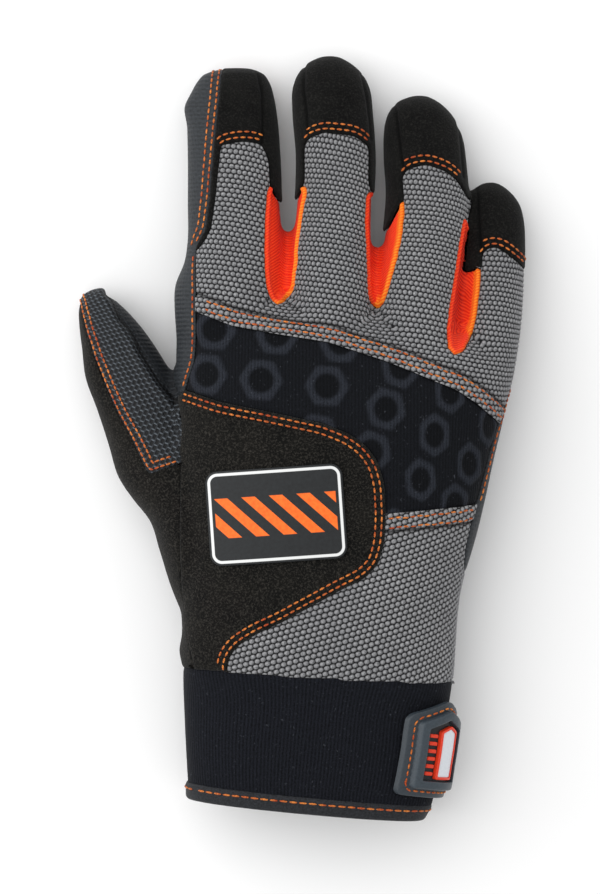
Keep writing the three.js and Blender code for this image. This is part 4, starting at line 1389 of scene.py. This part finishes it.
class Finish:
    """A material, with short ways to add and wire its nodes."""

    def __init__(self, name, roughness, **sockets):
        self.material = bpy.data.materials.new(name)
        self.material.use_nodes = True
        self.tree = self.material.node_tree
        self.surface = self.tree.nodes["Principled BSDF"]
        self.surface.inputs["Roughness"].default_value = roughness
        for socket, value in sockets.items():
            self.surface.inputs[socket.replace("_", " ")].default_value = value

    def add(self, kind, **settings):
        node = self.tree.nodes.new("ShaderNode" + kind)
        for name, value in settings.items():
            setattr(node, name, value)
        return node

    def wire(self, socket, value):
        """Links an output to a socket, or sets the socket to a number, a colour or a place."""
        if isinstance(value, bpy.types.NodeSocket):
            self.tree.links.new(value, socket)
        else:
            socket.default_value = value

    def math(self, operation, *values, clamp=False):
        node = self.add("Math", operation=operation, use_clamp=clamp)
        for socket, value in zip(node.inputs, values):
            self.wire(socket, value)
        return node.outputs[0]

    def place(self, source="Object"):
        """Object coordinates, or the plan or cloth UV map, as three numbers."""
        node = self.add("TexCoord")
        return node.outputs[source]

    def parts(self, vector):
        node = self.add("SeparateXYZ")
        self.wire(node.inputs[0], vector)
        return node.outputs[0], node.outputs[1], node.outputs[2]

    def noise(self, vector, scale, detail=3.0, roughness=0.6):
        node = self.add("TexNoise")
        self.wire(node.inputs["Vector"], vector)
        self.wire(node.inputs["Scale"], scale)
        self.wire(node.inputs["Detail"], detail)
        self.wire(node.inputs["Roughness"], roughness)
        return node.outputs[0]

    def stretched(self, vector, scale):
        node = self.add("Mapping")
        self.wire(node.inputs["Vector"], vector)
        self.wire(node.inputs["Scale"], scale)
        return node.outputs[0]

    def between(self, value, low, high):
        """Value taken from low..high to 0..1."""
        node = self.add("MapRange", clamp=True)
        for socket, given in zip(node.inputs, (value, low, high, 0.0, 1.0)):
            self.wire(socket, given)
        return node.outputs[0]

    def mix(self, share, first, second):
        node = self.add("Mix", data_type="RGBA")
        self.wire(node.inputs[0], share)
        for socket, value in ((node.inputs[6], first), (node.inputs[7], second)):
            self.wire(socket, paint(value) if isinstance(value, str) else value)
        return node.outputs[2]

    def attribute(self, name):
        return self.add("Attribute", attribute_name=name).outputs["Fac"]

    def colour(self, value):
        self.wire(self.surface.inputs["Base Color"], paint(value) if isinstance(value, str) else value)

    def bump(self, height, distance_mm, strength=1.0):
        node = self.add("Bump")
        self.wire(node.inputs["Height"], height)
        self.wire(node.inputs["Distance"], distance_mm * MM)
        self.wire(node.inputs["Strength"], strength)
        self.wire(self.surface.inputs["Normal"], node.outputs[0])


def paint(code):
    """A colour as red, green, blue and alpha, from the six figures that screens use."""
    parts = [int(code[k:k + 2], 16) / 255 for k in (0, 2, 4)]
    return tuple(p / 12.92 if p <= 0.04045 else ((p + 0.055) / 1.055) ** 2.4 for p in parts) + (1.0,)


def suede(name, dark, light, fleck):
    """Short dark nap: fine fibres, pale flecks, soft brushed patches and darker sunk seams."""
    f = Finish(name, 0.95, Sheen_Weight=0.06, Sheen_Roughness=0.5, Specular_IOR_Level=0.06)
    place = f.place()
    fibre = f.noise(place, 1500.0, 3.0, 0.75)
    patch = f.noise(place, 90.0, 3.0, 0.6)
    base = f.mix(f.between(patch, 0.3, 0.7), dark, light)
    flecked = f.mix(f.between(fibre, 0.48, 0.85), base, fleck)
    f.colour(f.mix(f.attribute("seam_and_shade"), flecked, "040404"))
    f.bump(fibre, 0.3, 0.8)
    return f.material


def knit():
    """Grey bubbles of fine yarn in staggered rows, with painted shade in the gaps between them, a painted highlight
    on one side of each bubble and a painted shadow line below the fold by the knuckle panel.
    """
    f = Finish("knit", 0.85, Sheen_Weight=0.1, Specular_IOR_Level=0.2)
    u, v, _ = f.parts(f.place("UV"))
    along = f.math("DIVIDE", v, BUBBLE_ROW_MM)
    row = f.math("FLOOR", along)
    shift = f.math("MULTIPLY", f.math("FLOORED_MODULO", row, 2.0), 0.5)
    across = f.math("ADD", f.math("DIVIDE", u, BUBBLE_PITCH_MM), shift)
    off_x = f.math("SUBTRACT", f.math("FLOORED_MODULO", across, 1.0), 0.5)
    off_y = f.math("SUBTRACT", f.math("SUBTRACT", along, row), 0.5)
    wide = f.math("POWER", f.math("MULTIPLY", f.math("ABSOLUTE", off_x), 2.0), BUBBLE_SQUARENESS)
    high = f.math("POWER", f.math("MULTIPLY", f.math("ABSOLUTE", off_y), 2.0), BUBBLE_SQUARENESS)
    bubble = f.math("SUBTRACT", 1.0, f.math("ADD", wide, high), clamp=True)
    bubble = f.math("POWER", bubble, 0.6)
    # Painted highlight and shade: each bubble is lighter towards one corner and darker towards the opposite one.
    lean = f.math("ADD", f.math("MULTIPLY", off_x, -0.5), f.math("MULTIPLY", off_y, 0.5))
    yarn = f.noise(f.place(), 2100.0, 3.0, 0.7)
    patch = f.noise(f.place(), 35.0, 2.0, 0.5)
    tone = f.math("ADD", f.between(yarn, 0.3, 0.75), lean)
    grey = f.mix(tone, "57585a", "b4b4b6")
    grey = f.mix(f.math("MULTIPLY", f.between(patch, 0.3, 0.7), 0.25), grey, "606165")
    # Painted shade: the gaps between the bubbles are dark, fading up each bubble's height.
    colour = f.mix(f.between(bubble, 0.1, 0.85), "141416", grey)
    # Painted shadow: a dark line below the knit's fold by the knuckle panel.
    f.colour(f.mix(f.attribute("seam_and_shade"), colour, "0c0c0d"))
    f.bump(f.math("ADD", bubble, f.math("MULTIPLY", yarn, 0.5)), 0.5, 0.7)
    return f.material


def grip(name, dark, light, slots, aside):
    """Synthetic leather pressed with staggered rows of short slots, plainer at the glove's sides, with painted shade
    in the slots, a painted highlight on one lip of each slot and painted shade in the thumb's crease.
    """
    f = Finish(name, 0.6, Specular_IOR_Level=0.25)
    u, v, _ = f.parts(f.place("UV"))
    drift = f.math("MULTIPLY", f.noise(f.place(), 160.0, 1.0, 0.5), 0.5)
    along = f.math("ADD", f.math("DIVIDE", v, BRICK_PITCH_MM), drift)
    row = f.math("FLOOR", f.math("DIVIDE", u, BRICK_ROW_MM))
    shift = f.math("MULTIPLY", f.math("FLOORED_MODULO", row, 2.0), 0.5)
    across = f.math("SUBTRACT", f.math("DIVIDE", u, BRICK_ROW_MM), row)
    off_x = f.math("ABSOLUTE", f.math("SUBTRACT", across, 0.5))
    part = f.math("FLOORED_MODULO", f.math("ADD", along, shift), 1.0)
    off_y = f.math("ABSOLUTE", f.math("SUBTRACT", part, 0.5))
    slot = f.math("MAXIMUM", f.math("DIVIDE", off_x, 0.27), f.math("DIVIDE", off_y, 0.28))
    slot = f.between(slot, 1.35, 0.75)
    # Painted highlight: a light line along one lip of each slot.
    lip_highlight = f.math("MULTIPLY", f.between(part, 0.78, 0.9), f.between(off_x, 0.42, 0.3))
    plain = f.attribute("plain")
    slot = f.math("MULTIPLY", slot, f.math("SUBTRACT", 1.0, f.math("MULTIPLY", plain, 0.8)))
    _, place_y, _ = f.parts(f.place())
    rib = f.between(f.math("SINE", f.math("MULTIPLY", place_y, 2 * math.pi / (SIDE_RIB_MM * MM))), -1.0, 1.0)
    rib = f.math("MULTIPLY", rib, plain)
    grain = f.noise(f.place(), 1500.0, 3.0, 0.6)
    base = f.mix(f.between(grain, 0.3, 0.7), dark, light)
    lip_highlight = f.math("MULTIPLY", lip_highlight, f.math("SUBTRACT", slots, f.math("MULTIPLY", plain, 0.6)))
    base = f.mix(lip_highlight, base, "5a6167")
    base = f.mix(f.math("MULTIPLY", rib, 0.5), base, dark)
    # Painted shade: the sunk slots are darkened.
    base = f.mix(f.math("MULTIPLY", slot, slots), base, "08090a")
    base = f.mix(f.math("MULTIPLY", plain, 0.7), base, f.mix(rib, aside, base))
    # Painted shade: the thumb's crease is darkened.
    f.colour(f.mix(f.attribute("seam_and_shade"), base, "050506"))
    height = f.math("SUBTRACT", f.math("MULTIPLY", grain, 0.5), slot)
    f.bump(f.math("SUBTRACT", height, f.math("MULTIPLY", rib, 0.6)), 0.35, 0.8)
    return f.material


def neoprene(name, dark, light, rib_mm, with_nuts=False):
    """Stretch cloth on foam, with fine upright ribs and many faint specks of lint."""
    f = Finish(name, 0.85, Sheen_Weight=0.03, Specular_IOR_Level=0.07)
    u, v, _ = f.parts(f.place("UV"))
    rib = f.math("SINE", f.math("MULTIPLY", u, 2 * math.pi / rib_mm))
    rib = f.between(rib, -1.0, 1.0)
    weave = f.noise(f.place(), 2500.0, 2.0, 0.6)
    speck = f.between(f.noise(f.place(), 1100.0, 2.0, 0.5), 0.66, 0.78)
    tone = f.math("ADD", f.math("MULTIPLY", rib, 0.55), f.between(weave, 0.35, 0.7))
    base = f.mix(f.math("MULTIPLY", tone, 0.65), dark, light)
    if with_nuts:
        base = f.mix(f.math("MULTIPLY", f.attribute("hole"), 0.4), base, "060708")
        base = f.mix(f.math("MULTIPLY", f.attribute("nut"), f.between(tone, -0.3, 1.1)), base, "2a2d34")
    f.colour(f.mix(f.math("MULTIPLY", speck, 0.45), base, "50535a"))
    f.bump(f.math("ADD", f.math("MULTIPLY", rib, 0.8), weave), 0.14, 0.7)
    return f.material


def gusset():
    """Bright orange stretch cloth with fine slanting ribs, orange on its rolled edge. Painted shade turns it red
    further in and on the sides that face away from the key lamp, with darker red deepest between the fingers.
    """
    f = Finish("gusset", 0.6, Sheen_Weight=0.05, Specular_IOR_Level=0.2)
    u, v, _ = f.parts(f.place("UV"))
    slant = f.math("ADD", f.math("MULTIPLY", u, -0.5), v)
    rib = f.between(f.math("SINE", f.math("MULTIPLY", slant, 2 * math.pi / GUSSET_RIB_MM)), -1.0, 1.0)
    gusset_shade = f.attribute("gusset_shade")
    outer = f.mix(rib, "f25c0c", "ff8f20")
    # Painted shade: red inside, away from the rolled edge and on sides facing away from the key lamp, and darker red
    # deepest between the fingers.
    inner = f.mix(rib, "e8260e", "ff4a1c")
    inner = f.mix(f.attribute("seam_and_shade"), inner, f.mix(rib, "a01209", "de3014"))
    f.colour(f.mix(gusset_shade, outer, inner))
    f.bump(f.math("MULTIPLY", rib, f.math("ADD", 0.4, gusset_shade)), 0.2, 0.7)
    return f.material


def binding():
    f = Finish("binding", 0.7, Sheen_Weight=0.04, Specular_IOR_Level=0.15)
    grain = f.noise(f.place(), 1800.0, 3.0, 0.6)
    f.colour(f.mix(f.between(grain, 0.35, 0.7), "1b1c1e", "303236"))
    f.bump(grain, 0.25, 0.7)
    return f.material


def rubber(name, dark, light, roughness=0.42, with_recess_shade=False):
    """Moulded rubber with a fine matt grain, with painted shade darkening the recess inside the rim where there is
    one.
    """
    f = Finish(name, roughness, Specular_IOR_Level=0.4)
    grain = f.noise(f.place(), 1500.0, 3.0, 0.5)
    colour = f.mix(f.between(grain, 0.3, 0.7), dark, light)
    if with_recess_shade:
        x, y, _ = f.parts(f.place("UV"))
        off = f.math("ABSOLUTE", x)
        across = f.math("SUBTRACT", TAB_WIDTH_MM / 2 - RIM_INSET_MM - 1, off)
        above = f.math("ADD", TAB_LENGTH_MM / 2 - RIM_INSET_MM - 1, y)
        peak = TAB_LENGTH_MM / 2 - (RIM_INSET_MM + 1) * math.hypot(1, TAB_PITCH)
        below = f.math("SUBTRACT", f.math("SUBTRACT", peak, f.math("MULTIPLY", off, TAB_PITCH)), y)
        inside = f.math("MINIMUM", across, f.math("MINIMUM", above, below))
        # Painted shade: the recess inside the rim is darkened.
        colour = f.mix(f.between(inside, 0.0, 0.4), colour, "101316")
    f.colour(colour)
    f.bump(grain, 0.05, 0.4)
    return f.material


def thread():
    """Orange sewing thread, twisted, browner here and more golden there."""
    f = Finish("thread", 0.6, Sheen_Weight=0.05, Specular_IOR_Level=0.3)
    tone = f.noise(f.place(), 220.0, 2.0, 0.6)
    twist = f.noise(f.place(), 3000.0, 1.0, 0.5)
    colour = f.mix(f.between(tone, 0.35, 0.65), "b2420f", "e68a38")
    f.colour(f.mix(f.math("MULTIPLY", f.between(twist, 0.4, 0.65), 0.75), colour, "6a2608"))
    f.bump(twist, 0.14, 0.9)
    return f.material


def badge_finish():
    """A plain printed patch: a pale border round slanting black and orange stripes."""
    f = Finish("badge", 0.5, Specular_IOR_Level=0.3)
    x, y, _ = f.parts(f.place("UV"))
    half_x = BADGE_WIDTH_MM / 2 - BADGE_CORNER_MM
    half_y = BADGE_LENGTH_MM / 2 - BADGE_CORNER_MM
    over_x = f.math("MAXIMUM", f.math("SUBTRACT", f.math("ABSOLUTE", x), half_x), 0.0)
    over_y = f.math("MAXIMUM", f.math("SUBTRACT", f.math("ABSOLUTE", y), half_y), 0.0)
    corner = f.math("SQRT", f.math("ADD", f.math("POWER", over_x, 2.0), f.math("POWER", over_y, 2.0)))
    inside = f.math("SUBTRACT", BADGE_CORNER_MM, corner)
    pale = f.math("MULTIPLY", f.between(inside, 0.7, 0.85), f.between(inside, 1.75, 1.6))
    field = f.between(inside, 2.6, 2.75)
    slant = f.math("FLOORED_MODULO", f.math("DIVIDE", f.math("ADD", x, y), 9.0), 1.0)
    band = f.math("MULTIPLY", f.between(slant, 0.5, 0.52), f.between(f.math("ABSOLUTE", y), 6.6, 6.4))
    grain = f.noise(f.place(), 900.0, 2.0, 0.5)
    base = f.mix(f.between(grain, 0.3, 0.7), "131517", "1b1e20")
    orange = f.mix(f.between(grain, 0.3, 0.7), "ee6212", "f87420")
    f.colour(f.mix(pale, f.mix(f.math("MULTIPLY", field, band), base, orange), "e2e3e2"))
    f.bump(grain, 0.04, 0.5)
    return f.material


materials = {
    "suede": suede("suede", "0b0b0b", "161513", "46433e"),
    "knit": knit(),
    "grip": grip("grip", "16181b", "2f3338", 0.95, "131518"),
    "neoprene": neoprene("neoprene", "040507", "1e2027", 1.15),
    "gusset": gusset(),
    "binding": binding(),
}
cap_suede = suede("cap_suede", "080808", "111110", "2c2b29")
finishes = {
    **{f"{digit}_cap": cap_suede for digit in ("index", "middle", "ring", "little")},
    "knuckle_panel": neoprene("nut_cloth", "090a0c", "181a1f", 1.15, with_nuts=True),
    "palm_panel": grip("palm_grip", "1a1d20", "363a3e", 0.8, "2c2f33"),
    "wrist_strap": neoprene("strap_cloth", "0a0b0d", "141619", 0.7),
}
moulded_finishes = {
    "tab_base": ("tab_rubber", rubber("tab_rubber", "282f35", "30383f", with_recess_shade=True)),
    "tab_rim": ("tab_rubber", rubber("tab_rim_rubber", "2e373e", "38424a")),
    "tab_window_edge": ("tab_orange", rubber("tab_orange", "d8300f", "e23c18")),
    "tab_window": ("tab_pale", rubber("tab_pale", "d2d6dc", "dadee3", 0.35)),
    "badge": ("badge", badge_finish()),
}


def flat_size(mesh):
    """A sheet's flat width, length and area in metres, from its own extent and surface."""
    places = positions(mesh)
    area = sum(face.area for face in mesh.polygons)
    spread = sorted(places.max(axis=0) - places.min(axis=0))
    width, length = max(spread[1], 0.012), max(spread[2], 0.012)
    if area > width * length:
        width = area / length * 1.02
    if area < 0.32 * width * length:
        shrink = math.sqrt(area / (0.33 * width * length))
        width, length = max(width * shrink, 0.0101), max(length * shrink, 0.0101)
    return (width, length), area


def finish_cloth(name, thickness_mm, material):
    thing = pieces[name]
    flat, area = flat_size(thing.data)
    wall = thing.modifiers.new("wall", "SOLIDIFY")
    wall.thickness = thickness_mm * MM
    wall.offset = -1
    thing.data.materials.append(material)
    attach(thing, "root")
    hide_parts(name)


for name, slot in PANELS.items():
    finish_cloth(name, SHAPES[name][4], finishes.get(name, materials[slot]))
finish_cloth("wrist_strap", STRAP_MM, finishes["wrist_strap"])
for name, (slot, material) in moulded_finishes.items():
    pieces[name].data.materials.append(material)
    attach(pieces[name], "root")
    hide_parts(name)
thread_finish = thread()
for piece in threads:
    piece.data.materials.append(thread_finish)
    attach(piece, "root")

# The floor, the light and the picture's tones.
FLOOR_HALF_M = 3.0
WORLD_STRENGTH = 0.8
LAMPS = [
    ("key", (-0.5, 0.3, 0.95), 1.4, 7.6),
    ("side", (-0.9, 0.2, 0.35), 0.6, 1.8),
]


def make_stage():
    shape = bmesh.new()
    bmesh.ops.create_grid(shape, x_segments=1, y_segments=1, size=FLOOR_HALF_M)
    bmesh.ops.translate(shape, verts=shape.verts, vec=(0, 0, cad_low.z - 0.00005))
    mesh = bpy.data.meshes.new("floor")
    shape.to_mesh(mesh)
    shape.free()
    floor = link("floor", mesh)
    f = Finish("floor", 0.9)
    f.colour("fafafa")
    mesh.materials.append(f.material)


def make_light():
    world = bpy.data.worlds.new("studio")
    world.use_nodes = True
    world.node_tree.nodes["Background"].inputs["Color"].default_value = paint("ffffff")
    world.node_tree.nodes["Background"].inputs["Strength"].default_value = WORLD_STRENGTH
    bpy.context.scene.world = world
    for name, place, size, power in LAMPS:
        data = bpy.data.lights.new(name, "AREA")
        data.size = size
        data.energy = power
        lamp = bpy.data.objects.new(name, data)
        lamp.location = place
        lamp.rotation_euler = (Vector((0, 0, 0.02)) - Vector(place)).to_track_quat("-Z", "Y").to_euler()
        bpy.context.scene.collection.objects.link(lamp)


make_stage()
make_light()
bpy.context.scene.view_settings.view_transform = "Standard"
